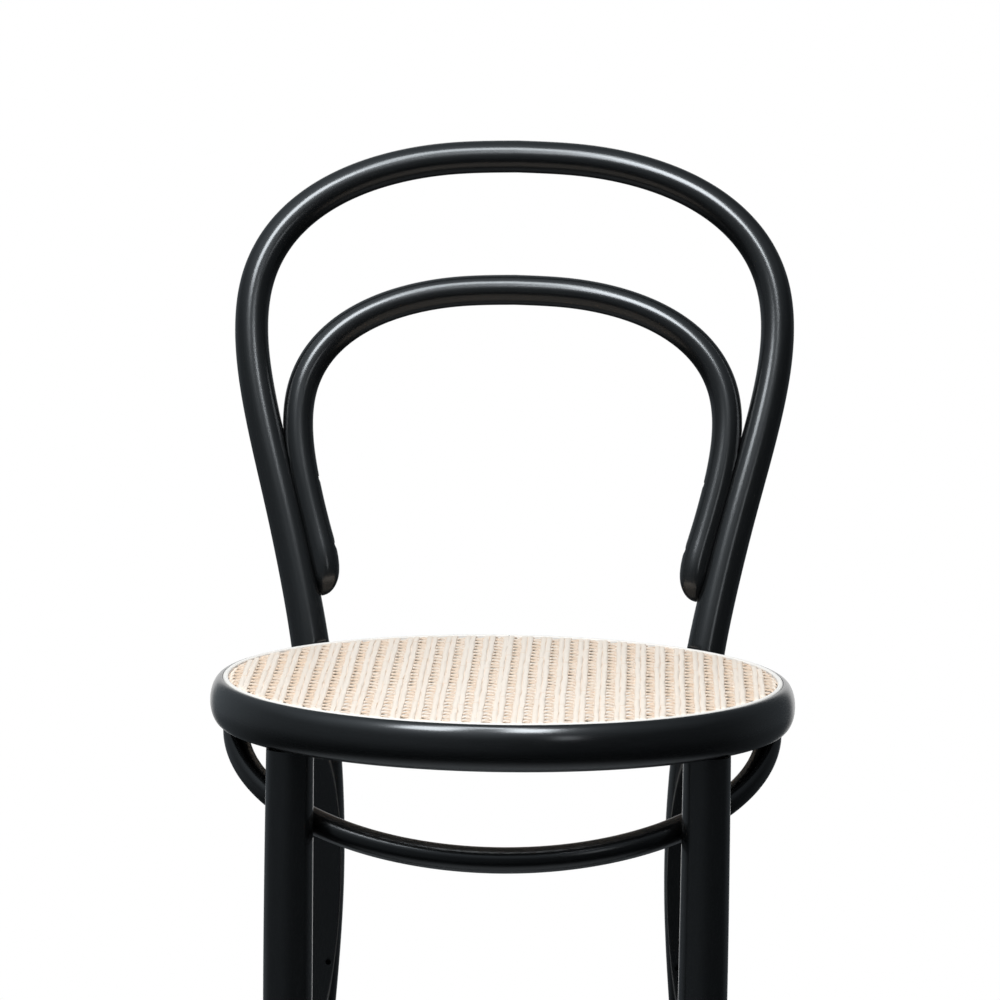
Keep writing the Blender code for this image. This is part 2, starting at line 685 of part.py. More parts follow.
def add_front_leg(name, curve, root):
    """Front leg with its tenon, and the cutter for the tenon's hole."""
    shoulder = curve[0]
    tenon = np.array([shoulder, shoulder])
    tenon[:, 3] = TENON_DIAMETER / 2
    tenon[0, 2] += TENON_LENGTH
    body = rod(np.vstack([tenon, curve]), LEG_SIDES, (0, 1, 0), level_ends=(False, True))
    leg = add_piece(name, body, root, LACQUER)
    bore = TENON_DIAMETER / 2 + CLEARANCE
    low = RING_BOTTOM - CUT_MARGIN
    high = shoulder[2] + TENON_LENGTH + CLEARANCE
    profile = [(0, low), (bore, low), (bore, high), (0, high)]
    matrix = Matrix.Translation((shoulder[0], shoulder[1], 0))
    return leg, add_piece(name + "_tenon_hole", turned(profile, LEG_SIDES), root, None, matrix)


def add_flat_cutters(side_name, side, root):
    """Cutters for the planed flat on a rear leg and for the hole drilled in it."""
    reach = CUT_MARGIN + REAR_WAIST_DIAMETER
    block = box((2 * reach, reach, FLAT_LENGTH))
    bmesh.ops.translate(block, verts=block.verts, vec=(0, -reach / 2 - FLAT_OFFSET, 0))
    turn = Matrix.Rotation(side * FLAT_TURN, 4, "Z")
    waist = (side * WAIST_HALF_SPACING, JOINT_BACK - WAIST_FORWARD, SEAT_HEIGHT - WAIST_DROP)
    matrix = Matrix.Translation(waist) @ turn
    flat = add_piece("flat_" + side_name, block, root, None, matrix)
    drill = FLAT_HOLE_DIAMETER / 2
    profile = [(0, -CUT_MARGIN), (drill, -CUT_MARGIN), (drill, FLAT_HOLE_DEPTH), (0, FLAT_HOLE_DEPTH)]
    spot = (-side * FLAT_HOLE_INSET, -FLAT_OFFSET, WAIST_DROP - FLAT_HOLE_DROP)
    hole_matrix = matrix @ aim(spot, (0, 1, 0))
    hole = add_piece("flat_hole_" + side_name, turned(profile, SCREW_SIDES), root, None, hole_matrix)
    return [flat, hole]


def add_bow(depth, root):
    """Bow whose ends run up into the plane under the ring, where they are planed level."""
    angles = np.linspace(-BOW_SWEEP, BOW_SWEEP, BOW_STEPS + 1)
    curve = np.array([bow_point(angle, depth) for angle in angles])
    bm = rod(curve, BOW_SIDES, (0, 0, 1))
    everything = list(bm.verts) + list(bm.edges) + list(bm.faces)
    plane = (0, 0, RING_BOTTOM - CLEARANCE)
    bmesh.ops.bisect_plane(bm, geom=everything, plane_co=plane, plane_no=(0, 0, 1), clear_outer=True)
    bmesh.ops.holes_fill(bm, edges=[edge for edge in bm.edges if edge.is_boundary])
    return add_piece("seat_bow", bm, root, LACQUER), curve[BOW_STEPS // 2:]


def add_bow_seat_screw(name, side, half_bow, root):
    """Screw that goes up through the planed end of the bow into the ring."""
    end = at_height(half_bow, RING_BOTTOM)
    start = at_height(half_bow, RING_BOTTOM - BOW_SEAT_SCREW_DROP)
    slope = math.atan2(end[2] - start[2], end[1] - start[1])
    under = start[2] - start[3] / math.cos(slope)
    head = (side * start[0], start[1], under + SCREW_SINK)
    return add_screw(name, head, (0, 0, 1), BOW_SEAT_SCREW_LENGTH, root, BROWNED)


def build():
    clear_scene()
    root = bpy.data.objects.new("stool", None)
    bpy.context.scene.collection.objects.link(root)
    root.location = (0, SEAT_CENTRE_Y, 0)

    hoop_half = hoop_curve()
    loop_half = loop_curve(hoop_half)
    hoop_line = mirrored(hoop_half)
    hoop_body = rod(hoop_line, HOOP_SIDES, (0, 1, 0), level_ends=(True, True))
    hoop = add_piece("back_hoop", hoop_body, root, LACQUER)
    hoop_envelope = add_piece("hoop_envelope", rod(hoop_line, HOOP_SIDES, (0, 1, 0), CLEARANCE), root)
    loop = add_piece("inner_loop", rod(mirrored(loop_half), LOOP_SIDES, (0, 1, 0)), root, LACQUER)
    ring = add_seat_ring(root)
    add_spline(root)
    add_cane(root)

    legs = {side: front_leg_curve(side) for _, side in SIDES}
    depth = bow_depth(legs[1])
    bow, half_bow = add_bow(depth, root)
    _, bow_spot, leg_spot = bow_contact(depth, legs[1])
    rear_row = at_height(hoop_half, FOOT_RING_HEIGHT)
    front_row = at_height(legs[1], FOOT_RING_HEIGHT)
    ring_centre, ring_radius = foot_ring_circle(rear_row, front_row)
    turns = np.linspace(0, 2 * math.pi, FOOT_RING_STEPS, endpoint=False)
    foot_line = np.array([
        (ring_radius * math.cos(a), ring_centre + ring_radius * math.sin(a), FOOT_RING_HEIGHT,
         FOOT_RING_DIAMETER / 2)
        for a in turns
    ])
    foot_ring = add_piece("foot_ring", rod(foot_line, BOW_SIDES, (0, 0, 1), closed=True), root, LACQUER)

    hoop_cutters = [add_ring_envelope(root)]
    loop_cutters = [hoop_envelope]
    ring_cutters = []
    bow_cutters = []
    foot_ring_cutters = [hoop_envelope]

    for side_name, side in SIDES:
        flip = np.array([side, 1, 1, 1])
        leg, tenon_hole = add_front_leg("front_leg_" + side_name, legs[side], root)
        leg_envelope = rod(legs[side], LEG_SIDES, (0, 1, 0), CLEARANCE)
        leg_cutter = add_piece("front_leg_envelope_" + side_name, leg_envelope, root)
        leg_cutters = [add_glide("front_glide_" + side_name, legs[side][-1], root)]
        ring_cutters.append(tenon_hole)
        bow_cutters.append(leg_cutter)
        foot_ring_cutters.append(leg_cutter)

        bolt_hole = add_seat_bolt(side_name, side, hoop_half, root)
        hoop_cutters.append(bolt_hole)
        ring_cutters.append(bolt_hole)
        hoop_cutters += add_flat_cutters(side_name, side, root)
        hoop_cutters.append(add_glide("rear_glide_" + side_name, hoop_half[-1] * flip, root))

        for place, rise in zip(("upper", "lower"), LOOP_SCREW_RISES):
            name = "loop_screw_" + place + "_" + side_name
            loop_row = at_height(loop_half, SEAT_HEIGHT + rise) * flip
            hoop_row = at_height(hoop_half, SEAT_HEIGHT + rise) * flip
            hole = add_cross_screw(name, loop_row, hoop_row, LOOP_SCREW_LENGTH, root)
            loop_cutters.append(hole)
            hoop_cutters.append(hole)

        name = "bow_leg_screw_" + side_name
        hole = add_cross_screw(name, bow_spot * flip, leg_spot * flip, BOW_LEG_SCREW_LENGTH, root)
        bow_cutters.append(hole)
        leg_cutters.append(hole)

        hole = add_bow_seat_screw("bow_seat_screw_" + side_name, side, half_bow, root)
        bow_cutters.append(hole)
        ring_cutters.append(hole)

        for leg_name, leg_row, cutters in (
            ("front", front_row * flip, leg_cutters),
            ("rear", rear_row * flip, hoop_cutters),
        ):
            spoke = np.array([leg_row[0], leg_row[1] - ring_centre])
            spoke = spoke / np.linalg.norm(spoke)
            rod_row = np.array([
                ring_radius * spoke[0], ring_centre + ring_radius * spoke[1], FOOT_RING_HEIGHT,
                FOOT_RING_DIAMETER / 2,
            ])
            name = "foot_ring_screw_" + leg_name + "_" + side_name
            hole = add_cross_screw(name, rod_row, leg_row, FOOT_RING_SCREW_LENGTH, root)
            foot_ring_cutters.append(hole)
            cutters.append(hole)
        cut(leg, leg_cutters)

    cut(hoop, hoop_cutters)
    cut(loop, loop_cutters)
    cut(ring, ring_cutters)
    cut(bow, bow_cutters)
    cut(foot_ring, foot_ring_cutters)


build()
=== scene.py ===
"""Bentwood bar stool with a woven cane seat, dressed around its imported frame.

Metres, +Z up, the front towards -Y. Every shape is worked out about the seat's axis and is then
moved to the frame's own place for that axis.
"""

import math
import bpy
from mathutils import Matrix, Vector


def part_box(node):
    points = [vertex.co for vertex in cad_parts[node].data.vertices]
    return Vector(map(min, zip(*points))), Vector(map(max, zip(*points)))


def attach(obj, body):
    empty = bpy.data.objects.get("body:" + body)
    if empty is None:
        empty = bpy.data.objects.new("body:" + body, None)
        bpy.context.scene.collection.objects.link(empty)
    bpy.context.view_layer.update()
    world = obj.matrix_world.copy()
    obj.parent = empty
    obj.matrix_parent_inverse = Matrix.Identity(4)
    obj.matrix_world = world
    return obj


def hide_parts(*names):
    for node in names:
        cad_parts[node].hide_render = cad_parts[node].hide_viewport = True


bl_info = {
    "name": "Bentwood Bar Stool",
    "version": (1, 0, 0),
    "blender": (4, 5, 0),
    "location": "View3D > Sidebar > Stool",
    "description": "Builds a lacquered bentwood bar stool with a woven cane seat",
    "category": "Add Mesh",
}

import bpy
import numpy as np
from bpy.props import FloatProperty, FloatVectorProperty, IntProperty, PointerProperty
from bpy.types import Operator, Panel, PropertyGroup
from mathutils import Matrix, Vector

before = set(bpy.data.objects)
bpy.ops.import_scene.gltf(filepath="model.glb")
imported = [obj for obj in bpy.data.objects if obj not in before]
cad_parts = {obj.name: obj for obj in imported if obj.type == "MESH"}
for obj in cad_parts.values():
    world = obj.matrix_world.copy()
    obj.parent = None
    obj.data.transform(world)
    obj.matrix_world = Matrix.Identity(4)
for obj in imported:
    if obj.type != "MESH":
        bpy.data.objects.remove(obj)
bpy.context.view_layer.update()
RING_LOW, RING_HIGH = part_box("seat_ring")
SEAT_AXIS = np.array([0.0, (RING_LOW.y + RING_HIGH.y) / 2, 0.0])
BACK = np.array([0.0, 1.0, 0.0])
UP = np.array([0.0, 0.0, 1.0])
MIRROR = np.array([-1.0, 1.0, 1.0, 1.0])
SIDES = (("left", -1), ("right", 1))
CLEARANCE = 0.0003
SHARP = 35.0                    # degrees over which an edge stays sharp


# Settings

def length(name, default, description):
    return FloatProperty(name=name, description=description, default=default, unit="LENGTH", precision=4)


def angle(name, degrees, description):
    return FloatProperty(name=name, description=description, default=math.radians(degrees), subtype="ANGLE")


def share(name, default, description):
    return FloatProperty(name=name, description=description, default=default, precision=3)


def colour(name, default, description):
    return FloatVectorProperty(name=name, description=description, default=default, size=3,
                               subtype="COLOR", min=0.0, max=1.0)


class StoolSizes(PropertyGroup):
    """Sizes of the bent frame and of the seat."""

    seat_height: length("Seat height", RING_HIGH.z, "Floor to the top of the seat ring")
    seat_radius: length("Seat radius", (RING_HIGH.x - RING_LOW.x) / 2, "Outer radius of the seat ring")
    ring_height: length("Ring height", RING_HIGH.z - RING_LOW.z, "Height of the seat ring")
    ring_width: length("Ring width", 0.038, "From the ring's outer face to its inner wall")
    ring_rounding: length("Ring rounding", 0.0087, "Radial depth of the ring's rounded face")
    groove_depth: length("Groove depth", 0.009, "Depth of the groove that holds the cane")
    spline_width: length("Spline width", 0.0038, "Width of the reed in the groove")
    spline_proud: length("Spline proud", 0.0008, "How far the reed stands above the ring")
    hoop_rise: length("Hoop rise", 0.3536, "Hoop's centre line above the seat, at the crown")
    hoop_half_width: length("Hoop half width", 0.197, "Hoop's centre line at its widest place")
    loop_rise: length("Loop rise", 0.2561, "Inner loop's centre line above the seat, at the crown")
    loop_half_width: length("Loop half width", 0.1603, "Inner loop's centre line at its widest place")
    loop_diameter: length("Loop diameter", 0.0227, "Thickness of the inner loop")
    bow_diameter: length("Bow diameter", 0.0186, "Thickness of the bow under the seat")
    bow_depth: length("Bow depth", 0.13688, "Seat's axis to the bow's centre line at the front")
    foot_ring_height: length("Foot ring height", 0.300, "Floor to the foot ring's centre line")
    foot_ring_radius: length("Foot ring radius", 0.18772, "Centre line of the foot ring")
    foot_ring_diameter: length("Foot ring diameter", 0.022, "Thickness of the foot ring")
    row_spacing: length("Row spacing", 0.0025, "Distance between two sections of a rod")
    rod_sides: IntProperty(name="Rod sides", description="Points round a thin rod", default=40)


class CaneSizes(PropertyGroup):
    """Sizes of the woven cane."""

    radius: length("Cane radius", 0.1967, "Where the strands end in the groove")
    pitch: length("Mesh", 0.0141, "Distance between two pairs of strands")
    pair: length("Pair spacing", 0.0042, "Distance between the two strands of a pair")
    lengthwise_width: length("Lengthwise width", 0.0042, "Width of a strand that runs from front to back")
    crosswise_width: length("Crosswise width", 0.0031, "Width of a strand that runs from side to side")
    diagonal_width: length("Diagonal width", 0.0028, "Width of a diagonal strand")
    thickness: length("Strand thickness", 0.00110, "Thickness of a strand")
    sink: length("Sink", 0.0002, "Middle of the weave below the ring's top")
    tuck: length("Tuck", 0.0045, "How far the strands turn down into the groove")
    bend: length("Bend", 0.0026, "Length of that turn")
    wander: length("Wander", 0.00026, "How far a strand strays from its straight line")
    seed: IntProperty(name="Seed", description="Choice of the strands' small differences", default=7)


class StoolFinishes(PropertyGroup):
    """Colours of the finishes."""

    lacquer: colour("Lacquer", (0.0026, 0.0029, 0.0031), "Black lacquer")
    lacquer_grain: colour("Lacquer grain", (0.0052, 0.0057, 0.0060), "Lacquer over the paler grain")
    # Pale colour of the highlight painted along the edges of the rear legs' flats
    lacquer_highlight: colour("Worn lacquer", (0.22, 0.21, 0.20), "Lacquer rubbed thin along an edge")
    cane: colour("Cane", (0.99, 0.85, 0.72), "Pale skin of the cane")
    # Serves the cane's own fibres, strand tones and knots, and also the painted shade between the
    # lengthwise columns
    cane_dark: colour("Cane streaks", (0.90, 0.66, 0.47), "Darker streaks of the cane")
    # Cut edges' own darker tan, and also the shade painted on the edges between the lengthwise columns
    cane_edge_and_shade: colour("Cane edges", (0.86, 0.64, 0.47), "Cut edges of the strands")
    reed: colour("Reed", (0.97, 0.90, 0.83), "Pale reed of the spline")
    reed_dark: colour("Reed fibres", (0.92, 0.81, 0.69), "Fibres of the reed")
    zinc: colour("Zinc", (0.56, 0.56, 0.54), "Plated bolts, washers and nuts")
    browned: colour("Browned steel", (0.060, 0.050, 0.042), "Wood screws")
    nylon: colour("Nylon", (0.050, 0.050, 0.052), "Glides under the feet")


class StoolStage(PropertyGroup):
    """Camera and light."""

    distance: length("Camera distance", 4.62, "Camera to the middle of the seat")
    elevation: angle("Camera elevation", 9.18, "Camera above the seat's plane")
    turn: angle("Camera turn", 1.2, "Camera towards the right of the front")
    roll: angle("Camera roll", 0.8, "Turn of the camera about its own axis")
    focal: FloatProperty(name="Focal length", description="In image widths", default=6.43)
    seat_across: share("Seat across", 0.003, "Seat's middle right of the image's middle, in image widths")
    seat_down: share("Seat down", 0.1781, "Seat's middle below the image's middle, in image widths")
    top: share("Top light", 7.0, "Brightness of the softbox overhead, where 1 is white")
    left: share("Left light", 11.0, "Brightness of the softbox that falls off to the left")
    right: share("Right light", 13.0, "Brightness of the softbox that falls off to the right")
    strip: share("Strip light", 1.7, "Brightness of the tall softbox at the far right")
    ceiling: share("Ceiling", 0.40, "Brightness of the ceiling")
    left_wall: share("Left wall", 0.13, "Brightness of the room at the front left")
    right_wall: share("Right wall", 0.03, "Brightness of the room at the front right")
    backdrop: share("Backdrop", 0.045, "Brightness of the backdrop in reflections")
    floor: colour("Floor", (0.80, 0.80, 0.80), "Pale floor")


# Meshes

THIN_FROM = 0.05                # upward part of a normal at which the coat starts to thin
THIN_TO = -0.20                 # and at which it is thinnest
HOLE_SIDES = 32


def surface(points, across, along, wrap_rows=False):
    """Quads and corner coordinates of a tube, from a grid of points whose columns go round it.

    Across gives the columns' places on the surface, in metres, with the way round added at the
    end. Along gives the rows' places, with that too where the rows are wrapped. Where they are
    not, the tube's two ends are capped.
    """
    rows, columns = points.shape[:2]
    row, column = np.indices((rows if wrap_rows else rows - 1, columns)).reshape(2, -1)
    rows_of = np.stack([row, row, row + 1, row + 1], axis=1)
    columns_of = np.stack([column, column + 1, column + 1, column], axis=1)
    faces = ((rows_of % rows) * columns + columns_of % columns).tolist()
    points = points.reshape(-1, 3)
    places = [np.stack([across[columns_of], along[rows_of]], axis=-1).reshape(-1, 2)]
    if not wrap_rows:
        ring = np.arange(columns)
        for cap in (ring[::-1], (rows - 1) * columns + ring):
            faces.append(cap.tolist())
            places.append(points[cap][:, :2])
    return points, faces, np.concatenate(places)


def new_mesh(name, points, faces):
    """Mesh of points about the seat's axis, moved to the frame's place for that axis."""
    mesh = bpy.data.meshes.new(name)
    mesh.from_pydata((points + SEAT_AXIS).tolist(), [], faces)
    return mesh


def mark(mesh, name, values):
    """Write one value for each point of a mesh as an attribute that a finish reads."""
    layer = mesh.attributes.new(name, "FLOAT", "POINT")
    layer.data.foreach_set("value", np.asarray(values, dtype=np.float32).ravel())


def add_piece(name, part, finish, node, sharp=SHARP):
    """One object from a surface, which stands for a node of the frame and rides on its only body."""
    points, faces, places = part
    mesh = new_mesh(name, points, faces)
    layer = mesh.uv_layers.new(name="grain")
    layer.data.foreach_set("uv", places.astype(np.float32).ravel())
    mesh.update()
    mesh.shade_smooth()
    mesh.set_sharp_from_angle(angle=math.radians(sharp))
    mesh.materials.append(finish)
    piece = bpy.data.objects.new(name, mesh)
    bpy.context.scene.collection.objects.link(piece)
    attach(piece, "root")
    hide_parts(node)
    return piece


def add_lacquered(name, part, node, holes=(), wear=None, thin=None, sharp=SHARP):
    """A lacquered piece of the frame with its holes, a painted highlight marked on its points and its thin
    coat.
    """
    finish = black_lacquer(bpy.context.scene.stool_finishes)
    piece = add_piece(name, part, finish, node, sharp)
    # Painted highlight, marked on the points for the lacquer to paint pale
    if wear is not None:
        mark(piece.data, "wear", wear)
    if holes:
        drill(piece, holes, sharp)
    if thin:
        thin_coat(piece, *thin)


def thin_coat(piece, least, most):
    """Mark how thin the coat is: least on faces that look up, most on those that look down.

    Between the two it follows a smooth step of the normal's upward part.
    """
    normals = np.empty((len(piece.data.vertices), 3), dtype=np.float32)
    piece.data.vertex_normals.foreach_get("vector", normals.ravel())
    down = np.clip((THIN_FROM - normals[:, 2]) / (THIN_FROM - THIN_TO), 0.0, 1.0)
    mark(piece.data, "thin", least + (most - least) * down * down * (3 - 2 * down))


def cut(piece, points, faces, sharp=SHARP):
    """Take a closed surface out of a piece."""
    mesh = new_mesh("cutter", points, faces)
    cutter = bpy.data.objects.new("cutter", mesh)
    bpy.context.scene.collection.objects.link(cutter)
    modifier = piece.modifiers.new("cut", "BOOLEAN")
    modifier.operation = "DIFFERENCE"
    modifier.solver = "EXACT"
    modifier.object = cutter
    graph = bpy.context.evaluated_depsgraph_get()
    cut_mesh = bpy.data.meshes.new_from_object(piece.evaluated_get(graph))
    piece.modifiers.clear()
    old_mesh = piece.data
    piece.data = cut_mesh
    bpy.data.meshes.remove(old_mesh)
    bpy.data.objects.remove(cutter)
    bpy.data.meshes.remove(mesh)
    cut_mesh.name = piece.name
    cut_mesh.set_sharp_from_angle(angle=math.radians(sharp))


def drill(piece, holes, sharp):
    """Cut turned holes out of a piece. Each hole is a profile with the matrix that places it."""
    points, faces = [], []
    for profile, matrix in holes:
        first = sum(len(part) for part in points)
        hole_points, hole_faces, _ = turned(profile, matrix, HOLE_SIDES)
        points.append(hole_points)
        faces += [[first + corner for corner in face] for face in hole_faces]
    cut(piece, np.concatenate(points), faces, sharp)


# Lines and sections

def unit(vectors):
    return vectors / np.linalg.norm(vectors, axis=-1, keepdims=True)


def run_of(points, closed=False):
    """Distance along points at each of them, with the way round added at the end of a closed row."""
    if closed:
        points = np.vstack([points, points[:1]])
    return np.concatenate([[0.0], np.cumsum(np.linalg.norm(np.diff(points, axis=0), axis=1))])


def bent_line(stations, spacing):
    """Natural cubic curve through rows of (x, y, z, radius), as rows at an even spacing.

    Between two rows it is their straight mix plus a cubic whose second slope runs evenly from one
    row's bend to the next one's. The bends make the slope continuous and are zero at the ends.
    """
    knots = np.asarray(stations, dtype=float)
    start = run_of(knots[:, :3])
    chord = np.diff(start)
    count = len(knots)
    inner = np.arange(1, count - 1)
    system = np.eye(count)
    system[inner, inner - 1] = chord[:-1]
    system[inner, inner] = 2 * (chord[:-1] + chord[1:])
    system[inner, inner + 1] = chord[1:]
    right = np.zeros_like(knots)
    right[1:-1] = 6 * np.diff(np.diff(knots, axis=0) / chord[:, None], axis=0)
    bend = np.linalg.solve(system, right)
    along = np.linspace(0.0, start[-1], round(start[-1] / spacing) + 1)
    knot = np.clip(np.searchsorted(start, along, side="right") - 1, 0, count - 2)
    part = ((along - start[knot]) / chord[knot])[:, None]
    rest = 1 - part
    curl = (rest ** 3 - rest) * bend[knot] + (part ** 3 - part) * bend[knot + 1]
    return rest * knots[knot] + part * knots[knot + 1] + curl * chord[knot][:, None] ** 2 / 6


def mirrored(line):
    """Whole symmetric line, right to left, from its right half that starts at x = 0."""
    return np.vstack([line[::-1], line[1:] * MIRROR])


def at_height(line, height):
    """Row of a falling line at a height."""
    order = np.argsort(line[:, 2])
    return np.array([np.interp(height, line[order, 2], line[order, k]) for k in range(4)])


def section_axes(line, reference, closed=False):
    """Unit vectors along, across and sideways at each row. Across stays next to the reference."""
    points = line[:, :3]
    if closed:
        tangent = np.roll(points, -1, axis=0) - np.roll(points, 1, axis=0)
    else:
        tangent = np.gradient(points, axis=0)
    tangent = unit(tangent)
    across = unit(reference - (tangent @ reference)[:, None] * tangent)
    return tangent, across, np.cross(tangent, across)


def rod_points(line, angles, reference, closed=False):
    """Round rod: each row's centre plus its radius times a unit circle that is square to the line."""
    _, across, side = section_axes(line, reference, closed)
    angles = np.broadcast_to(angles, (len(line), np.shape(angles)[-1]))
    spoke = np.cos(angles)[..., None] * across[:, None] + np.sin(angles)[..., None] * side[:, None]
    return line[:, None, :3] + line[:, None, 3:] * spoke


def round_angles(sides):
    return 2 * math.pi * np.arange(sides) / sides


def rod_surface(points, line, run):
    """Surface of a rod's points, with its girth taken from the line's mean radius.

    A run that has the way round at its end closes the rod.
    """
    sides = points.shape[1]
    girth = 2 * math.pi * line[:, 3].mean() * np.arange(sides + 1) / sides
    return surface(points, girth, run, wrap_rows=len(run) > len(points))


def scribe(points, line):
    """Press points out of another rod: those nearer to its line than its radius go to its face."""
    flat = points.reshape(-1, 3)
    near = (flat ** 2).sum(1)[:, None] + (line[:, :3] ** 2).sum(1) - 2 * flat @ line[:, :3].T
    row = near.argmin(axis=1)
    tangent = unit(np.gradient(line[:, :3], axis=0))[row]
    spoke = flat - line[row, :3]
    spoke = spoke - (spoke * tangent).sum(1, keepdims=True) * tangent
    reach = np.linalg.norm(spoke, axis=1, keepdims=True)
    wanted = line[row, 3:] + CLEARANCE
    pushed = flat + spoke / reach * (wanted - reach)
    return np.where(reach < wanted, pushed, flat).reshape(points.shape)


def placed(points, matrix):
    """Local points at the place that a matrix gives them."""
    turn = np.array(matrix)
    return points @ turn[:3, :3].T + turn[:3, 3]


def polar(radius, turn, height):
    """Points from a radius, an angle and a height about an axis, over their common grid."""
    return np.stack(np.broadcast_arrays(radius * np.cos(turn), radius * np.sin(turn), height), axis=-1)


def turned(profile, matrix, sides, twist=None, closed=False):
    """Solid turned about a local axis from (radius, height) rows.

    Open rows get a cap at each end, and closed ones go round a bore. A twist changes each point's
    radius, as for a thread or a hexagon.
    """
    profile = np.asarray(profile, dtype=float)
    radius, height = profile[:, :1], profile[:, 1:]
    angles = round_angles(sides)
    around = radius.max() * np.append(angles, 2 * math.pi)
    if twist is not None:
        radius = twist(radius, height, angles)
    points = placed(polar(radius, angles, height), matrix)
    return surface(points, around, run_of(profile, closed), wrap_rows=closed)


def turned_ring(profile, turn, along, closed=True):
    """Ring carried about the seat's axis from a closed outline of (radius, height) points."""
    points = polar(profile[:, 0], turn[:, None], profile[:, 1])
    return surface(points, run_of(profile, closed=True), along, wrap_rows=closed)


def arc(centre, radii, start, end, steps):
    """Points of a circle's or an ellipse's arc in a profile, from one angle in degrees to another."""
    turn = np.radians(np.linspace(start, end, steps + 1))
    return np.asarray(centre) + np.asarray(radii) * np.stack([np.cos(turn), np.sin(turn)], axis=1)


# Centre lines of the frame

ARCH_SQUARENESS = 2.35
ARCH_STATIONS = 7
BACK_LEAN = 0.285
BACK_SWEEP = 0.10
HOOP_WIDEST_RISE = 0.228
HOOP_DIAMETERS = (0.0243, 0.0250, 0.0284)   # at the crown, the side and the seat
UPRIGHT_BENDS = ((0.176, 0.1902), (0.103, 0.1713), (0.045, 0.1568))   # rise and half spacing
UPRIGHT_HALF_SPACING = 0.1475
NOTCH_DEPTH = 0.0055
WAIST_DROP = 0.180
WAIST_HALF_SPACING = 0.1349
WAIST_FORWARD = 0.025
KNEE = (0.270, 0.1396, -0.019)              # drop, half spacing and distance behind the joint
SHIN = (0.500, 0.161, 0.026)
FOOT_HALF_SPACING = 0.188
FOOT_BACK = 0.112
REAR_DIAMETERS = (0.032, 0.027)             # at the waist and the foot
FOOT_HEIGHT = 0.0043
FOOT_BEVEL = 0.0010
LOOP_WIDEST_RISE = 0.158
LOOP_COPE = 0.0042
LOOP_BENDS = (                              # rise and share of the loop's thickness
    (0.117, 1.0), (0.074, 1.0), (0.055, 1.0), (0.0440, 0.84), (0.0372, 0.54), (0.0334, 0.20),
)
FRONT_HALF_SPACING = 0.1462
FRONT_INSET = 0.021
FRONT_TOP_DIAMETER = 0.0335
FRONT_STATIONS = (                          # height, flare and thickness
    (0.56, 0.0, 0.0348), (0.33, 0.0, 0.0325), (FOOT_HEIGHT, 0.018, 0.0260),
)
BOW_INSET = 0.0185
BOW_DROPS = (0.107, 0.0355)                 # at the front and the sides
BOW_SWEEP = math.radians(102)
BOW_ROWS = 361


def joint_back(sizes):
    """Depth of the uprights' centre lines at the seat, where they are let over the ring."""
    reach = sizes.seat_radius + HOOP_DIAMETERS[2] / 2 - NOTCH_DEPTH
    return math.sqrt(reach ** 2 - UPRIGHT_HALF_SPACING ** 2)


def back_place(sizes, rise):
    """Depth of the back at a rise above the seat: a lean that grows with the rise."""
    return joint_back(sizes) + BACK_LEAN * rise + BACK_SWEEP * rise ** 2


def arch(half_width, widest_rise, crown_rise):
    """Half widths and rises of a bent arch: a quarter of a superellipse, from crown to side."""
    turn = np.linspace(0.0, math.pi / 2, ARCH_STATIONS + 1)
    power = 2 / ARCH_SQUARENESS
    half = half_width * np.sin(turn) ** power
    rise = widest_rise + (crown_rise - widest_rise) * np.clip(np.cos(turn), 0.0, 1.0) ** power
    return half, rise


def back_rows(sizes, half, rise, diameter):
    """Rows of a rod in the back, from its half widths, rises and thickness."""
    half, rise, diameter = np.broadcast_arrays(half, rise, diameter)
    return np.stack([half, back_place(sizes, rise), sizes.seat_height + rise, diameter / 2], axis=1)


def hoop_half(sizes):
    """Right half of the back hoop, from the crown to the foot of the rear leg."""
    crown, side, seat = HOOP_DIAMETERS
    half, rise = arch(sizes.hoop_half_width, HOOP_WIDEST_RISE, sizes.hoop_rise)
    top = back_rows(sizes, half, rise, crown + (side - crown) * (half / sizes.hoop_half_width) ** 2)
    rise, half = np.array(UPRIGHT_BENDS + ((0.0, UPRIGHT_HALF_SPACING),)).T
    uprights = back_rows(sizes, half, rise, side + (seat - side) * (1 - rise / HOOP_WIDEST_RISE))
    waist, foot = REAR_DIAMETERS
    drop, half, behind, diameter = np.array([
        (WAIST_DROP, WAIST_HALF_SPACING, -WAIST_FORWARD, waist),
        KNEE + ((2 * waist + foot) / 3,),
        SHIN + ((waist + foot) / 2,),
        (sizes.seat_height - FOOT_HEIGHT, FOOT_HALF_SPACING, FOOT_BACK, foot),
    ]).T
    rear = np.stack([half, joint_back(sizes) + behind, sizes.seat_height - drop, diameter / 2], axis=1)
    return bent_line(np.vstack([top, uprights, rear]), sizes.row_spacing)


def loop_half(sizes, hoop):
    """Right half of the inner loop, from its crown to its rounded end against the upright."""
    half, rise = arch(sizes.loop_half_width, LOOP_WIDEST_RISE, sizes.loop_rise)
    top = back_rows(sizes, half, rise, sizes.loop_diameter)
    arms = []
    for rise, part in LOOP_BENDS:
        upright = at_height(hoop, sizes.seat_height + rise)
        radius = part * sizes.loop_diameter / 2
        place = upright[0] - (upright[3] + radius - LOOP_COPE)
        arms.append((place, back_place(sizes, rise), sizes.seat_height + rise, radius))
    return bent_line(np.vstack([top, arms]), sizes.row_spacing / 2)


def front_leg_line(sizes, side):
    """Front leg from under the ring to the floor, flared along the seat's radius at the foot."""
    radius = sizes.seat_radius - FRONT_INSET
    out = np.array([side * FRONT_HALF_SPACING, -math.sqrt(radius ** 2 - FRONT_HALF_SPACING ** 2)]) / radius
    top = sizes.seat_height - sizes.ring_height - CLEARANCE
    height, flare, diameter = np.array(((top, 0.0, FRONT_TOP_DIAMETER),) + FRONT_STATIONS).T
    place = (radius + flare)[:, None] * out
    return bent_line(np.column_stack([place, height, diameter / 2]), sizes.row_spacing)


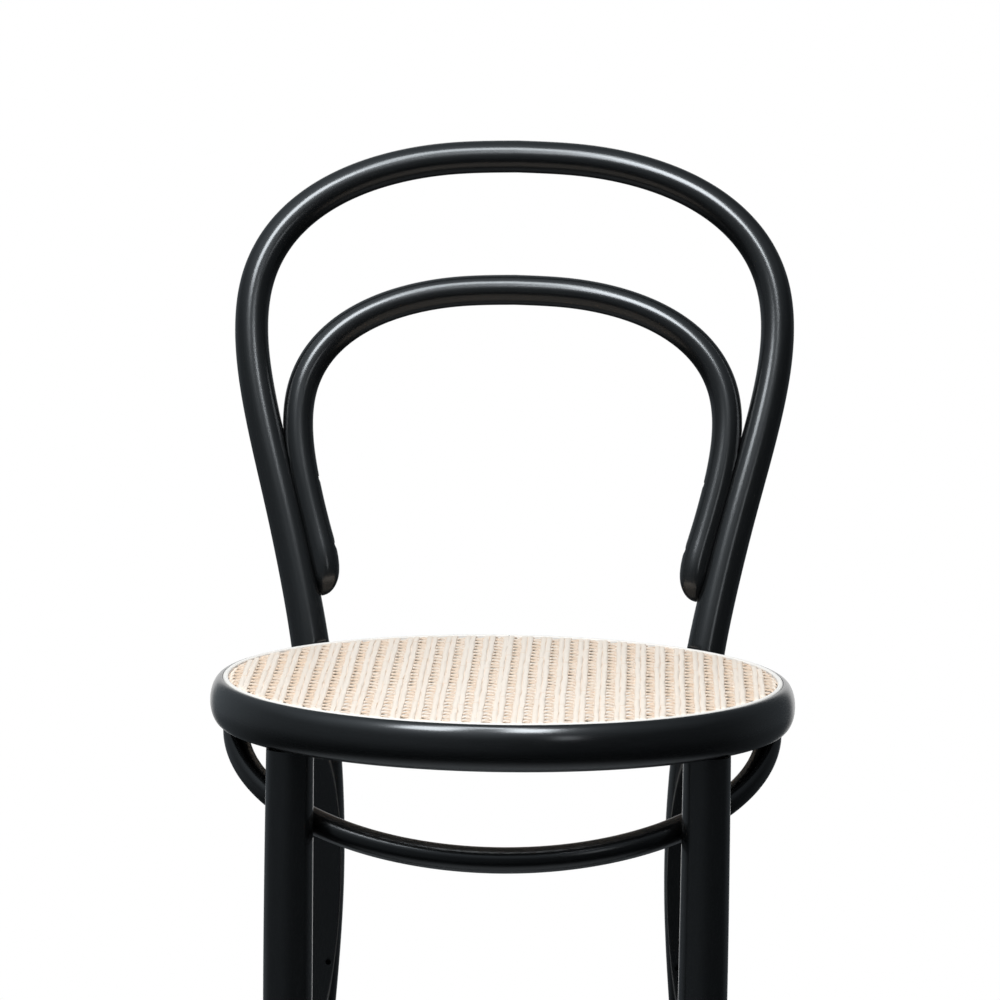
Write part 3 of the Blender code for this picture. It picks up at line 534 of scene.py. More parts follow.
def bow_line(sizes):
    """Bow: a half ellipse in plan that climbs with the cosine from the front to its ends."""
    turn = np.linspace(-BOW_SWEEP, BOW_SWEEP, BOW_ROWS)
    low, high = BOW_DROPS
    return np.stack([
        (sizes.seat_radius - BOW_INSET) * np.sin(turn),
        -sizes.bow_depth * np.cos(turn),
        sizes.seat_height - high - (low - high) * np.cos(turn),
        np.full_like(turn, sizes.bow_diameter / 2),
    ], axis=1)


def level_foot(line, points):
    """Slide the last ring along the rod until it is level, with a small bevel round it."""
    tangent = unit(line[-1, :3] - line[-2, :3])
    rise = points[-1, :, 2:] - line[-1, 2]
    points[-1] = points[-1] - tangent * rise / tangent[2]
    centre = points[-1].mean(axis=0)
    inner = centre + (points[-1] - centre) * (1 - FOOT_BEVEL / line[-1, 3])
    points[-1, :, 2] += FOOT_BEVEL
    return np.vstack([points, inner[None]])


# Places of the frame's own turned pieces

WIDE_END = 0.9                  # share of the widest reach that counts as the wide end


def node_points(name):
    """Separate points of a node of the frame, about the seat's axis."""
    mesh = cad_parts[name].data
    points = np.empty(len(mesh.vertices) * 3)
    mesh.vertices.foreach_get("co", points)
    return np.unique(points.reshape(-1, 3).round(6), axis=0) - SEAT_AXIS


def node_axis(name):
    """Head, direction and length of a turned node: its longest spread, from its wider end."""
    points = node_points(name)
    middle = points.mean(axis=0)
    direction = np.linalg.svd(points - middle, full_matrices=False)[2][0]
    run = (points - middle) @ direction
    reach = np.linalg.norm(points - middle - run[:, None] * direction, axis=1)
    if run[reach > WIDE_END * reach.max()].mean() > 0:
        direction, run = -direction, -run
    return middle + direction * run.min(), direction, run.max() - run.min()


def aim(point, direction):
    """Matrix with its origin at the point and its local +Z along the direction."""
    turn = Vector(direction).to_track_quat("Z", "Y").to_matrix().to_4x4()
    return Matrix.Translation(Vector(point)) @ turn


# Finishes

class Wire:
    """A value in a node tree. Its operators add Math nodes."""

    def __init__(self, tree, socket):
        self.tree = tree
        self.socket = socket

    def output(self, name):
        """Another output of the same node."""
        return Wire(self.tree, self.socket.node.outputs[name])

    def math(self, operation, *values):
        return self.tree.add("ShaderNodeMath", {"operation": operation}, dict(enumerate(values)))

    def __add__(self, other):
        return self.math("ADD", self, other)

    __radd__ = __add__

    def __sub__(self, other):
        return self.math("SUBTRACT", self, other)

    def __rsub__(self, other):
        return self.math("SUBTRACT", other, self)

    def __mul__(self, other):
        return self.math("MULTIPLY", self, other)

    __rmul__ = __mul__

    def __truediv__(self, other):
        return self.math("DIVIDE", self, other)

    def __rtruediv__(self, other):
        return self.math("DIVIDE", other, self)

    def __pow__(self, other):
        return self.math("POWER", self, other)

    def __abs__(self):
        return self.math("ABSOLUTE", self)

    def from_middle(self):
        """Distance of the value's part after the point from one half."""
        return abs(self.math("FRACT", self) - 0.5)

    def above(self, low, high):
        """Zero under low, one over high and smooth between."""
        return self.tree.add("ShaderNodeMapRange", {"interpolation_type": "SMOOTHSTEP"}, {
            "Value": self, "From Min": low, "From Max": high,
        })


class Tree:
    """A node tree whose nodes are made by one method."""

    def __init__(self, owner):
        owner.use_nodes = True
        self.graph = owner.node_tree

    def join(self, place, value):
        """Link a wire to a socket, or set a plain value on it."""
        if isinstance(value, Wire):
            self.graph.links.new(value.socket, place)
        elif place.type == "RGBA":
            place.default_value = (*value, 1.0)
        else:
            place.default_value = value

    def add(self, kind, settings=None, sockets=None, output=0):
        """A node of that kind with its settings made and its sockets set or linked."""
        node = self.graph.nodes.new(kind)
        for name, value in (settings or {}).items():
            setattr(node, name, value)
        for name, value in (sockets or {}).items():
            self.join(node.inputs[name], value)
        return Wire(self, node.outputs[output])

    def mix(self, part, low, high):
        """Colour that goes from low to high. The numbers are the node's colour sockets."""
        return self.add("ShaderNodeMix", {"data_type": "RGBA"}, {0: part, 6: low, 7: high}, 2)

    def noise(self, vector, scale, detail=2.0, roughness=0.5):
        return self.add("ShaderNodeTexNoise", None, {
            "Vector": vector, "Scale": scale, "Detail": detail, "Roughness": roughness,
        }, "Fac")

    def place(self, kind):
        return self.add("ShaderNodeTexCoord", None, None, kind)

    def grain(self, across, along, detail=3.0, roughness=0.6):
        """Noise on the piece's own grain, with so many waves to a metre in its two directions."""
        place = self.add("ShaderNodeMapping", None, {
            "Vector": self.place("UV"), "Scale": (across, along, 1.0),
        })
        return self.noise(place, 1.0, detail, roughness)

    def attribute(self, name):
        return self.add("ShaderNodeAttribute", {"attribute_name": name}, None, "Fac")

    def split(self, vector):
        first = self.add("ShaderNodeSeparateXYZ", None, {"Vector": vector})
        return [first.output(axis) for axis in "XYZ"]


class Finish(Tree):
    """A new Principled material."""

    def __init__(self, name):
        self.material = bpy.data.materials.new(name)
        super().__init__(self.material)
        self.shader = self.graph.nodes["Principled BSDF"]

    def set(self, **sockets):
        for name, value in sockets.items():
            self.join(self.shader.inputs[name.replace("_", " ")], value)

    def bump(self, height, distance):
        self.set(Normal=self.add("ShaderNodeBump", None, {"Height": height, "Distance": distance}))


def black_lacquer(finishes):
    """Satin lacquer on bent beech: long faint grain, small pores and the spray's fine ripple.

    It is painted pale where a point is marked with a painted highlight, and its coat is weaker where it is
    thin.
    """
    found = bpy.data.materials.get("stool_lacquer")
    if found:
        return found
    paint = Finish("stool_lacquer")
    fibre = paint.grain(900.0, 45.0)
    pores = paint.grain(1800.0, 160.0, 1.0, 0.5).above(0.60, 0.74)
    cloud = paint.noise(paint.place("Object"), 28.0, 3.0)
    ripple = paint.noise(paint.place("Object"), 260.0, 1.0)
    black = paint.mix(fibre.above(0.35, 0.75), finishes.lacquer, finishes.lacquer_grain)
    # Painted highlight: pale lacquer colour along the flats' edges, made patchy by the cloud
    painted_highlight = paint.attribute("wear") * (0.45 + 0.9 * cloud)
    paint.set(
        Base_Color=paint.mix(painted_highlight, black, finishes.lacquer_highlight),
        Roughness=0.30 + 0.07 * fibre + 0.08 * cloud + 0.10 * pores,
        Specular_IOR_Level=0.10,
        Coat_Weight=0.90 - 0.65 * paint.attribute("thin"),
        Coat_IOR=1.80,
        Coat_Roughness=0.20,
    )
    paint.bump(0.5 * ripple + 0.35 * fibre - 0.5 * pores, 0.00006)
    return paint.material


def woven_cane(finishes, cane):
    """Cane skin: pale strands with fibres, darker cut edges, painted shade and a darker knot here and
    there.

    The skin is palest along the lengthwise pairs. Between their columns it has painted shade of a
    streaky random strength, more towards the seat's two sides, and its edges are painted darker there.
    A strand's places across go from 0 to 1.2 round its section, with 0.4 at the middle of its upper face.
    """
    paint = Finish("stool_cane")
    across, along, _ = paint.split(paint.place("UV"))
    sideways = paint.split(paint.place("Object"))[0]
    strand = paint.attribute("strand")
    fibre = paint.grain(9.0, 60.0)
    streak = paint.noise(paint.place("Object"), 80.0, 3.0)
    edge = abs(across - 0.4).above(0.19, 0.27)
    knot = 1 - (along * 5.3 + strand * 17.0).from_middle().above(0.004, 0.012)
    # Gaps between the lengthwise columns, where shade is painted
    between = (sideways / cane.pitch + 0.5).from_middle().above(0.20, 0.36)
    # Strength of the painted shade: streaky at random, and more towards the seat's two sides
    streaks_and_shade = 0.45 * streak.above(0.40, 0.62) + 0.30 * abs(sideways).above(0.03, 0.17)
    dark = 0.12 * fibre.above(0.45, 0.80) + 0.35 * strand + between * streaks_and_shade + 0.40 * knot
    skin = paint.mix(dark, finishes.cane, finishes.cane_dark)
    paint.set(
        # Cut edges: their own tan faintly everywhere, painted darker as shade between the lengthwise
        # columns
        Base_Color=paint.mix(edge * (0.10 + 0.90 * between), skin, finishes.cane_edge_and_shade),
        Roughness=0.42 + 0.15 * fibre + 0.15 * edge,
    )
    paint.bump(fibre - 0.6 * knot, 0.00012)
    return paint.material


def pale_reed(finishes):
    """Peeled reed: pale, dull, with long fibres."""
    paint = Finish("stool_reed")
    fibre = paint.grain(1600.0, 40.0)
    cloud = paint.noise(paint.place("Object"), 40.0)
    dark = fibre.above(0.48, 0.85) * (0.4 + 0.6 * cloud)
    paint.set(
        Base_Color=paint.mix(dark, finishes.reed, finishes.reed_dark),
        Roughness=0.48 + 0.16 * fibre,
    )
    paint.bump(fibre, 0.00012)
    return paint.material


def steel(name, base, rough):
    """Plated or browned steel: turning marks and dull spots."""
    paint = Finish(name)
    marks = paint.grain(120.0, 4200.0, 2.0, 0.5)
    spots = paint.noise(paint.place("Object"), 420.0, 3.0)
    paint.set(
        Base_Color=paint.mix(spots.above(0.45, 0.75), base, [0.62 * part for part in base]),
        Roughness=rough + 0.14 * marks + 0.12 * spots,
        Metallic=1.0,
    )
    paint.bump(marks, 0.00004)
    return paint.material


def grey_nylon(base):
    """Moulded nylon: a fine even grain, scuffed pale here and there."""
    paint = Finish("stool_nylon")
    grain = paint.noise(paint.place("Object"), 1500.0, 2.0)
    scuff = paint.noise(paint.place("Object"), 180.0, 4.0).above(0.52, 0.72)
    paint.set(
        Base_Color=paint.mix(0.5 * scuff, base, [2.6 * part for part in base]),
        Roughness=0.50 + 0.16 * grain + 0.12 * scuff,
    )
    paint.bump(grain, 0.00008)
    return paint.material


# Back and legs

HOOP_COLUMNS = 64
HOOP_SHARP = 40.0
LEG_COLUMNS = 48
LEG_SHARP = 50.0
FOOT_RING_ROWS = 300
FLAT_OFFSET = 0.006                         # from the rod's centre to the flat, at the waist
FLAT_TURN = math.radians(8)
FLAT_DROPS = (0.050, 0.310)                 # where the flats start and end below the seat
FLAT_HOLE = (0.237, 0.006, 0.0021, 0.012)   # drop, distance from the middle, radius and depth
FLAT_COLUMNS = 20
FLAT_SHARE = 0.375                          # of half the girth, away from the flats
FLAT_EDGE = np.radians([-1.6, 0.0, 1.6, 3.2, 5.2])   # columns beside a flat's edge
FLAT_STEP = math.radians(1.8)               # from those to the flat's own columns
FLAT_ROUNDING = 0.0003                      # softness of the edge
FLAT_HIGHLIGHT = 0.0005                          # depth of the painted highlight line along it
FLAT_LEAST = math.radians(20.0)             # a narrower chord counts as no flat
FLAT_FADE = 0.045                           # length in which the columns spread again
BACK_COAT = (0.0, 1.0)                      # how thin the coat is above and below
BOW_COAT = (0.5, 0.8)
RING_COAT = (0.0, 0.5)
SCREW_HEAD = 0.0040
SCREW_SHANK = 0.0021
BOLT_HEAD = 0.0075
BOLT_HEAD_HEIGHT = 0.0036
HOLE_REACH = 0.012
SCREW_NODES = {
    "inner_loop": [f"loop_screw_{place}_{side}" for place in ("upper", "lower") for side, _ in SIDES],
    "seat_bow": [f"bow_{place}_screw_{side}" for place in ("leg", "seat") for side, _ in SIDES],
    "foot_ring": [f"foot_ring_screw_{place}_{side}" for place in ("front", "rear") for side, _ in SIDES],
}


def screw_holes(rod):
    """Clear bores above the heads of the screws that go through a rod."""
    wide = SCREW_HEAD + CLEARANCE
    profile = [(wide, -HOLE_REACH), (wide, CLEARANCE), (SCREW_SHANK, wide - SCREW_SHANK)]
    return [(profile, aim(*node_axis(node)[:2])) for node in SCREW_NODES[rod]]


def bolt_holes():
    """Counterbore for each carriage bolt's head in the back of a rear leg."""
    wide = BOLT_HEAD + CLEARANCE
    profile = [(wide, -HOLE_REACH), (wide, BOLT_HEAD_HEIGHT + CLEARANCE)]
    return [(profile, aim(*node_axis("seat_bolt_" + side)[:2])) for side, _ in SIDES]


def flat_planes(sizes):
    """Point and outward direction of the planed flat on each rear leg."""
    back = joint_back(sizes) - WAIST_FORWARD
    height = sizes.seat_height - WAIST_DROP
    for _, side in SIDES:
        facing = np.array([side * math.sin(FLAT_TURN), -math.cos(FLAT_TURN), 0.0])
        yield side, np.array([side * WAIST_HALF_SPACING, back, height]) + FLAT_OFFSET * facing, facing


def flat_holes(sizes):
    """Small blind hole drilled in each flat."""
    drop, inset, radius, depth = FLAT_HOLE
    holes = []
    for side, point, facing in flat_planes(sizes):
        sideways = np.array([-facing[1], facing[0], 0.0])
        spot = point - side * inset * sideways
        spot[2] = sizes.seat_height - drop
        holes.append(([(radius, -depth), (radius, depth)], aim(spot, -facing)))
    return holes


def on_flat(sizes, points, side):
    """Which points lie on one side's leg and at the height of its flat."""
    drop = sizes.seat_height - points[..., 2]
    return (side * points[..., 0] > 0) & (drop > FLAT_DROPS[0]) & (drop < FLAT_DROPS[1])


def hoop_angles(sizes, line):
    """Angles round the hoop's sections, drawn together so that columns run along the flats' edges.

    The flat takes a fixed number of columns. Its half angle is that of the chord that the plane
    cuts from the section, and away from the flats it is the angle that spaces the columns evenly.
    """
    tangent, _, _ = section_axes(line, BACK)
    half = np.full(len(line), np.nan)
    for side, point, facing in flat_planes(sizes):
        square = np.sqrt(1 - (tangent @ facing) ** 2)
        depth = ((point - line[:, :3]) @ facing) / (line[:, 3] * square)
        chord = np.arccos(np.clip(depth, -1.0, 1.0))
        half = np.where(on_flat(sizes, line, side) & (chord > FLAT_LEAST), chord, half)
    run = run_of(line[:, :3])
    flat_rows = run[~np.isnan(half)]
    away = np.abs(run[:, None] - flat_rows).min(axis=1) > FLAT_FADE
    half = np.where(away, FLAT_SHARE * math.pi, half)
    known = ~np.isnan(half)
    half = np.interp(run, run[known], half[known])[:, None]
    outer = HOOP_COLUMNS - FLAT_COLUMNS - 2 * len(FLAT_EDGE)
    face = np.linspace(-1.0, 1.0, FLAT_COLUMNS)
    rest = np.linspace(0.0, 1.0, outer + 2)[1:-1]
    edge = half + FLAT_EDGE
    rim = edge[:, -1:]
    beyond = rim + rest * (2 * math.pi - 2 * rim)
    spread = np.hstack([face * (edge[:, :1] - FLAT_STEP), edge, beyond, -edge[:, ::-1]])
    return math.pi + FLAT_TURN + spread


def plane_flats(sizes, points):
    """Planed points with a painted highlight along the flats' edges.

    A point's height over the flat's plane is pressed to zero or less by a soft step, and the painted
    highlight is a bell of that height, so that it follows the flat's edges.
    """
    wear = np.zeros(points.shape[:2])
    for side, point, facing in flat_planes(sizes):
        height = (points - point) @ facing
        planed = on_flat(sizes, points, side)
        proud = FLAT_ROUNDING * np.logaddexp(0.0, height / FLAT_ROUNDING)
        points = points - np.where(planed, proud, 0.0)[..., None] * facing
        # Painted highlight: a bell of the height over the flat's plane
        wear += np.where(planed, np.exp(-(height / FLAT_HIGHLIGHT) ** 2), 0.0)
    return points, wear


def let_over_ring(sizes, points):
    """Notch a rear leg where it meets the ring: points inside the ring's face go out to it.

    The face's radius at a height is half an ellipse on the groove's outer wall.
    """
    half = sizes.ring_height / 2
    part = (points[..., 2] - (sizes.seat_height - half)) / half
    bulge = np.sqrt(1 - np.clip(part, -1.0, 1.0) ** 2)
    wanted = sizes.seat_radius - sizes.ring_rounding * (1 - bulge) + CLEARANCE
    reach = np.hypot(points[..., 0], points[..., 1])
    grow = np.where((np.abs(part) < 1) & (reach < wanted), wanted / reach, 1.0)
    return points * np.stack([grow, grow, np.ones_like(grow)], axis=-1)


class STOOL_OT_back_hoop(Operator):
    """Bend the hoop of the back, whose ends are the rear legs"""

    bl_idname = "stool.back_hoop"
    bl_label = "Back Hoop"

    def execute(self, context):
        sizes = context.scene.stool_sizes
        line = mirrored(hoop_half(sizes))
        points = rod_points(line, hoop_angles(sizes, line), BACK)
        # Flats planed, with a painted highlight marked along their edges
        points, wear = plane_flats(sizes, points)
        points = level_foot(line, let_over_ring(sizes, points))
        points = level_foot(line[::-1], points[::-1])[::-1]
        run = run_of(line[:, :3])
        run = np.concatenate([[-FOOT_BEVEL], run, [run[-1] + FOOT_BEVEL]])
        add_lacquered("hoop_back", rod_surface(points, line, run), "back_hoop",
                      flat_holes(sizes) + bolt_holes(), np.pad(wear, ((1, 1), (0, 0))),
                      BACK_COAT, HOOP_SHARP)
        return {"FINISHED"}


class STOOL_OT_inner_loop(Operator):
    """Bend the loop inside the hoop and scribe it against the uprights"""

    bl_idname = "stool.inner_loop"
    bl_label = "Inner Loop"

    def execute(self, context):
        sizes = context.scene.stool_sizes
        hoop = hoop_half(sizes)
        line = mirrored(loop_half(sizes, hoop))
        points = rod_points(line, round_angles(sizes.rod_sides), BACK)
        points = scribe(points, mirrored(hoop))
        add_lacquered("loop_inner", rod_surface(points, line, run_of(line[:, :3])), "inner_loop",
                      screw_holes("inner_loop"), thin=BACK_COAT)
        return {"FINISHED"}


class STOOL_OT_front_legs(Operator):
    """Turn the two front legs, flared at the foot"""

    bl_idname = "stool.front_legs"
    bl_label = "Front Legs"

    def execute(self, context):
        for name, side in SIDES:
            line = front_leg_line(context.scene.stool_sizes, side)
            points = level_foot(line, rod_points(line, round_angles(LEG_COLUMNS), BACK))
            run = run_of(line[:, :3])
            part = rod_surface(points, line, np.append(run, run[-1] + FOOT_BEVEL))
            add_lacquered("leg_front_" + name, part, "front_leg_" + name, sharp=LEG_SHARP)
        return {"FINISHED"}


def level_ends(points, plane):
    """Rod whose two ends are cut off by a level plane.

    Each column is followed from the middle row to both sides, up to where the straight line between
    two of its points meets the plane. Its rows are then spread evenly from one end to the other.
    """
    rows, sides = points.shape[:2]
    middle = rows // 2
    column = np.arange(sides)
    ends = []
    for half, step in ((points[middle:], 1), (points[middle::-1], -1)):
        first = (half[..., 2] > plane).argmax(axis=0)
        below, above = half[first - 1, column, 2], half[first, column, 2]
        ends.append(step * (first - 1 + (plane - below) / (above - below)) / middle)
    high, low = ends
    even = np.linspace(-1.0, 1.0, rows)
    wanted = low + np.linspace(0.0, 1.0, rows)[:, None] * (high - low)
    return np.stack([
        np.stack([np.interp(wanted[:, k], even, points[:, k, axis]) for axis in range(3)], axis=-1)
        for k in column
    ], axis=1)


class STOOL_OT_seat_bow(Operator):
    """Bend the bow under the seat and plane its ends level under the ring"""

    bl_idname = "stool.seat_bow"
    bl_label = "Seat Bow"

    def execute(self, context):
        sizes = context.scene.stool_sizes
        line = bow_line(sizes)
        points = rod_points(line, round_angles(sizes.rod_sides), UP)
        points = level_ends(points, sizes.seat_height - sizes.ring_height - CLEARANCE)
        for _, side in SIDES:
            points = scribe(points, front_leg_line(sizes, side))
        add_lacquered("bow_under_seat", rod_surface(points, line, run_of(line[:, :3])), "seat_bow",
                      screw_holes("seat_bow"), thin=BOW_COAT)
        return {"FINISHED"}


class STOOL_OT_foot_ring(Operator):
    """Bend the ring for the feet and scribe it against the four legs"""

    bl_idname = "stool.foot_ring"
    bl_label = "Foot Ring"

    def execute(self, context):
        sizes = context.scene.stool_sizes
        low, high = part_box("foot_ring")
        centre = np.array([0.0, (low.y + high.y) / 2, 0.0]) - SEAT_AXIS
        line = centre + polar(sizes.foot_ring_radius, round_angles(FOOT_RING_ROWS), sizes.foot_ring_height)
        line = np.column_stack([line, np.full(FOOT_RING_ROWS, sizes.foot_ring_diameter / 2)])
        points = rod_points(line, round_angles(sizes.rod_sides), UP, closed=True)
        for leg in (mirrored(hoop_half(sizes)), front_leg_line(sizes, -1), front_leg_line(sizes, 1)):
            points = scribe(points, leg)
        part = rod_surface(points, line, run_of(line[:, :3], closed=True))
        add_lacquered("ring_for_feet", part, "foot_ring", screw_holes("foot_ring"))
        return {"FINISHED"}


# Seat

RING_ROWS = 240
RING_SHARP = 50.0
RING_EASE = 0.004               # rounding of the ring's inner edges
LAND_DROP = 0.0018              # land inside the groove, below the ring's top
CANE_SPACE = 0.0024             # room in the groove for the cane beside the reed
REED_ROWS = 281
REED_SHARP = 50.0
REED_CROWN = 0.6                # height of the reed's crown to half its width
REED_BASE_GAP = 0.001
CANE_SHARP = 60.0
LENS = np.array([               # section of a strand, in its width and its thickness
    (-0.5, -0.40), (-0.43, 0.26), (0.0, 0.5), (0.43, 0.26), (0.5, -0.40), (0.0, -0.5),
])
CANE_MARGIN = 0.0015            # no strand's line runs nearer to the rim
END_SAMPLES = 5
SAME_SAMPLE = 1e-6
STRAY_WAVES = ((2.3, 1, 1.0), (0.55, 7, 0.8))   # length in meshes, change of phase and share
STRAY_SPREAD = 0.5
SWELL = (0.8, 3, 0.12)                          # the same for a strand's width
WIDTH_SPREAD = 0.06
PAIR_LEVEL = 0.45               # heights in the weave, in strand thicknesses
PAIR_SWAY = 0.12
DIAGONAL_LEVEL = -0.45
DIAGONAL_PART = 0.20            # one direction above that level and the other below it
DIAGONAL_SWING = 0.30
SWING_STEEPNESS = 0.75
CROSSING_FADE = 0.35
PAIR_SAMPLES = (-1.5, -0.92, -0.5, -0.17, 0.17, 0.5, 0.92, 1.5)   # about a pair, in its spacings
SLANT_SAMPLES = 6               # to the distance between two diagonals
SLANT_REACH = 14                # samples on each side for each mesh of the radius


class STOOL_OT_seat_ring(Operator):
    """Bend the seat ring with its rounded face and the groove for the cane"""

    bl_idname = "stool.seat_ring"
    bl_label = "Seat Ring"

    def execute(self, context):
        sizes = context.scene.stool_sizes
        top = sizes.seat_height
        bottom = top - sizes.ring_height
        half = sizes.ring_height / 2
        wall = sizes.seat_radius - sizes.ring_width
        groove = sizes.seat_radius - sizes.ring_rounding
        inner = groove - sizes.spline_width - CANE_SPACE
        floor = top - sizes.groove_depth
        land = top - LAND_DROP
        ease = RING_EASE
        profile = np.vstack([
            arc((groove, top - half), (sizes.ring_rounding, half), 90.0, -90.0, 36),
            arc((wall + ease, bottom + ease), ease, 270.0, 180.0, 6),
            arc((wall + ease / 2, land - ease / 2), ease / 2, 180.0, 90.0, 4),
            arc((inner - ease / 4, land - ease / 4), ease / 4, 90.0, 0.0, 3),
            [(inner, floor), (groove, floor)],
        ])
        turn = round_angles(RING_ROWS)
        along = profile[:, 0].mean() * np.append(turn, 2 * math.pi)
        add_lacquered("ring_seat", turned_ring(profile, turn, along), "seat_ring",
                      thin=RING_COAT, sharp=RING_SHARP)
        return {"FINISHED"}


class STOOL_OT_cane_spline(Operator):
    """Press the reed into the groove, with its two ends meeting at the back"""

    bl_idname = "stool.cane_spline"
    bl_label = "Cane Spline"

    def execute(self, context):
        sizes = context.scene.stool_sizes
        outer = sizes.seat_radius - sizes.ring_rounding - CLEARANCE
        half = sizes.spline_width / 2
        crown = REED_CROWN * half
        floor = sizes.seat_height - sizes.groove_depth + REED_BASE_GAP
        shoulder = sizes.seat_height + sizes.spline_proud - crown
        profile = np.vstack([
            [(outer, floor)],
            arc((outer - half, shoulder), (half, crown), 0.0, 180.0, 12),
            [(outer - 2 * half, floor)],
        ])
        gap = CLEARANCE / outer
        turn = math.pi / 2 + np.linspace(gap, 2 * math.pi - gap, REED_ROWS)
        part = turned_ring(profile, turn, turn * outer, closed=False)
        finish = pale_reed(context.scene.stool_finishes)
        add_piece("reed_spline", part, finish, "cane_spline", REED_SHARP)
        return {"FINISHED"}


def straight_rise(cane, level, run, offsets, index):
    """Heights of straight strands: their level, with a small sway at each crossing pair.

    The sway goes down before the pair's middle and up after it, as a sine of the distance in
    pair spacings that fades with its fourth power. The two strands of a pair sway oppositely.
    """
    part = (run - np.round(run / cane.pitch) * cane.pitch) / cane.pair
    wave = np.sin(math.pi * part) * np.exp(-CROSSING_FADE * part ** 4)
    sway = np.where(index % 2 == 0, PAIR_SWAY, -PAIR_SWAY)[:, None]
    return cane.thickness * (level + sway * wave)


def slanting_rise(cane, sign, run, offsets, index):
    """Heights of diagonal strands: under the pairs, one direction a little over the other.

    They swing up at one kind of crossing and down at the other. The swing is the difference of
    two cosines, one for each straight direction, flattened by a hyperbolic tangent.
    """
    slant = cane.pitch / math.sqrt(2)
    first = np.cos(math.pi * (run + sign * offsets[:, None]) / slant)
    second = np.cos(math.pi * (run - sign * offsets[:, None]) / slant)
    swing = np.tanh(SWING_STEEPNESS * (first - second)) / math.tanh(2 * SWING_STEEPNESS)
    return cane.thickness * (DIAGONAL_PART * sign - DIAGONAL_SWING * swing + DIAGONAL_LEVEL)


class CaneFamily:
    """Strands of one direction, given by their lines' offsets, their samples and their heights.

    A point is offset times normal plus run times direction. The strand's rise is a function of the
    run, and its section is a lens that is carried along it and stays upright. Its line strays and
    its width swells in sine waves of the run, and its ends turn down a quarter of an ellipse.
    """

    def __init__(self, cane, direction, pattern, level, width, tones, random):
        offsets, samples, rise = pattern
        keep = np.abs(offsets) < cane.radius - CANE_MARGIN
        offsets = offsets[keep]
        count = len(offsets)
        half = np.sqrt(cane.radius ** 2 - offsets ** 2)[:, None]
        limit = np.maximum(half - cane.bend, 0.0)
        ends = np.maximum(half - cane.bend * np.linspace(1.0, 0.0, END_SAMPLES), limit)
        run = np.hstack([-ends[:, ::-1], np.clip(samples[None], -limit, limit), ends])
        phase = random.uniform(0.0, 2 * math.pi, (count, 1))
        stray = sum(part * np.sin(run / (meshes * cane.pitch) + times * phase)
                    for meshes, times, part in STRAY_WAVES)
        stray = cane.wander * (stray + STRAY_SPREAD * random.standard_normal((count, 1)))
        direction = np.asarray(direction, dtype=float)
        normal = np.array([direction[1], -direction[0]])
        place = (offsets[:, None] + stray)[..., None] * normal + run[..., None] * direction
        out = np.hypot(place[..., 0], place[..., 1])
        over = np.clip((out - cane.radius + cane.bend) / cane.bend, 0.0, 1.0)
        height = rise(cane, level, run, offsets, np.flatnonzero(keep)) * (1 - over)
        height = height - cane.tuck * (1 - np.sqrt(1 - over ** 2))
        height = height + bpy.context.scene.stool_sizes.seat_height - cane.sink
        meshes, times, part = SWELL
        swell = part * np.sin(run / (meshes * cane.pitch) + times * phase)[..., None]
        wide = width * (1 + WIDTH_SPREAD * random.standard_normal((count, 1, 1)) + swell)
        flat = place[:, :, None, :] + (wide * LENS[:, 0])[..., None] * normal
        tall = height[..., None] + cane.thickness * LENS[:, 1]
        self.points = np.concatenate([flat, tall[..., None]], axis=-1)
        self.run = run
        self.tone = random.uniform(*tones, count)

    def part(self):
        """Surface of all the strands with their tones. Samples on one place share their points."""
        count, samples, corners = self.points.shape[:3]
        moved = np.diff(self.run, axis=1) > SAME_SAMPLE
        own = np.where(np.hstack([np.ones((count, 1), bool), moved]), np.arange(samples), 0)
        own = np.maximum.accumulate(own, axis=1) + np.arange(count)[:, None] * samples
        strand, sample = np.nonzero(moved)
        corner = np.arange(corners)
        following = (corner + 1) % corners
        first = (own[strand, sample] * corners)[:, None]
        second = (own[strand, sample + 1] * corners)[:, None]
        quads = np.stack([first + corner, second + corner, second + following, first + following], axis=-1)
        starts = own[:, :1] * corners + corner
        stops = own[:, -1:] * corners + corner[::-1]
        across = np.stack([corner, corner, corner + 1, corner + 1], axis=-1) / (corners - 1)
        near, far = self.run[strand, sample], self.run[strand, sample + 1]
        along = np.stack([near, far, far, near], axis=-1)
        places = np.stack(np.broadcast_arrays(across[None], along[:, None]), axis=-1).reshape(-1, 2)
        used, index = np.unique(np.concatenate([quads.ravel(), starts.ravel(), stops.ravel()]),
                                return_inverse=True)
        faces = index[:quads.size].reshape(-1, 4).tolist()
        caps = index[quads.size:].reshape(-1, corners)
        places = np.concatenate([places, np.tile([0.5, 0.0], (caps.size, 1))])
        tones = np.repeat(self.tone, samples * corners)[used]
        return (self.points.reshape(-1, 3)[used], faces + caps.tolist(), places), tones


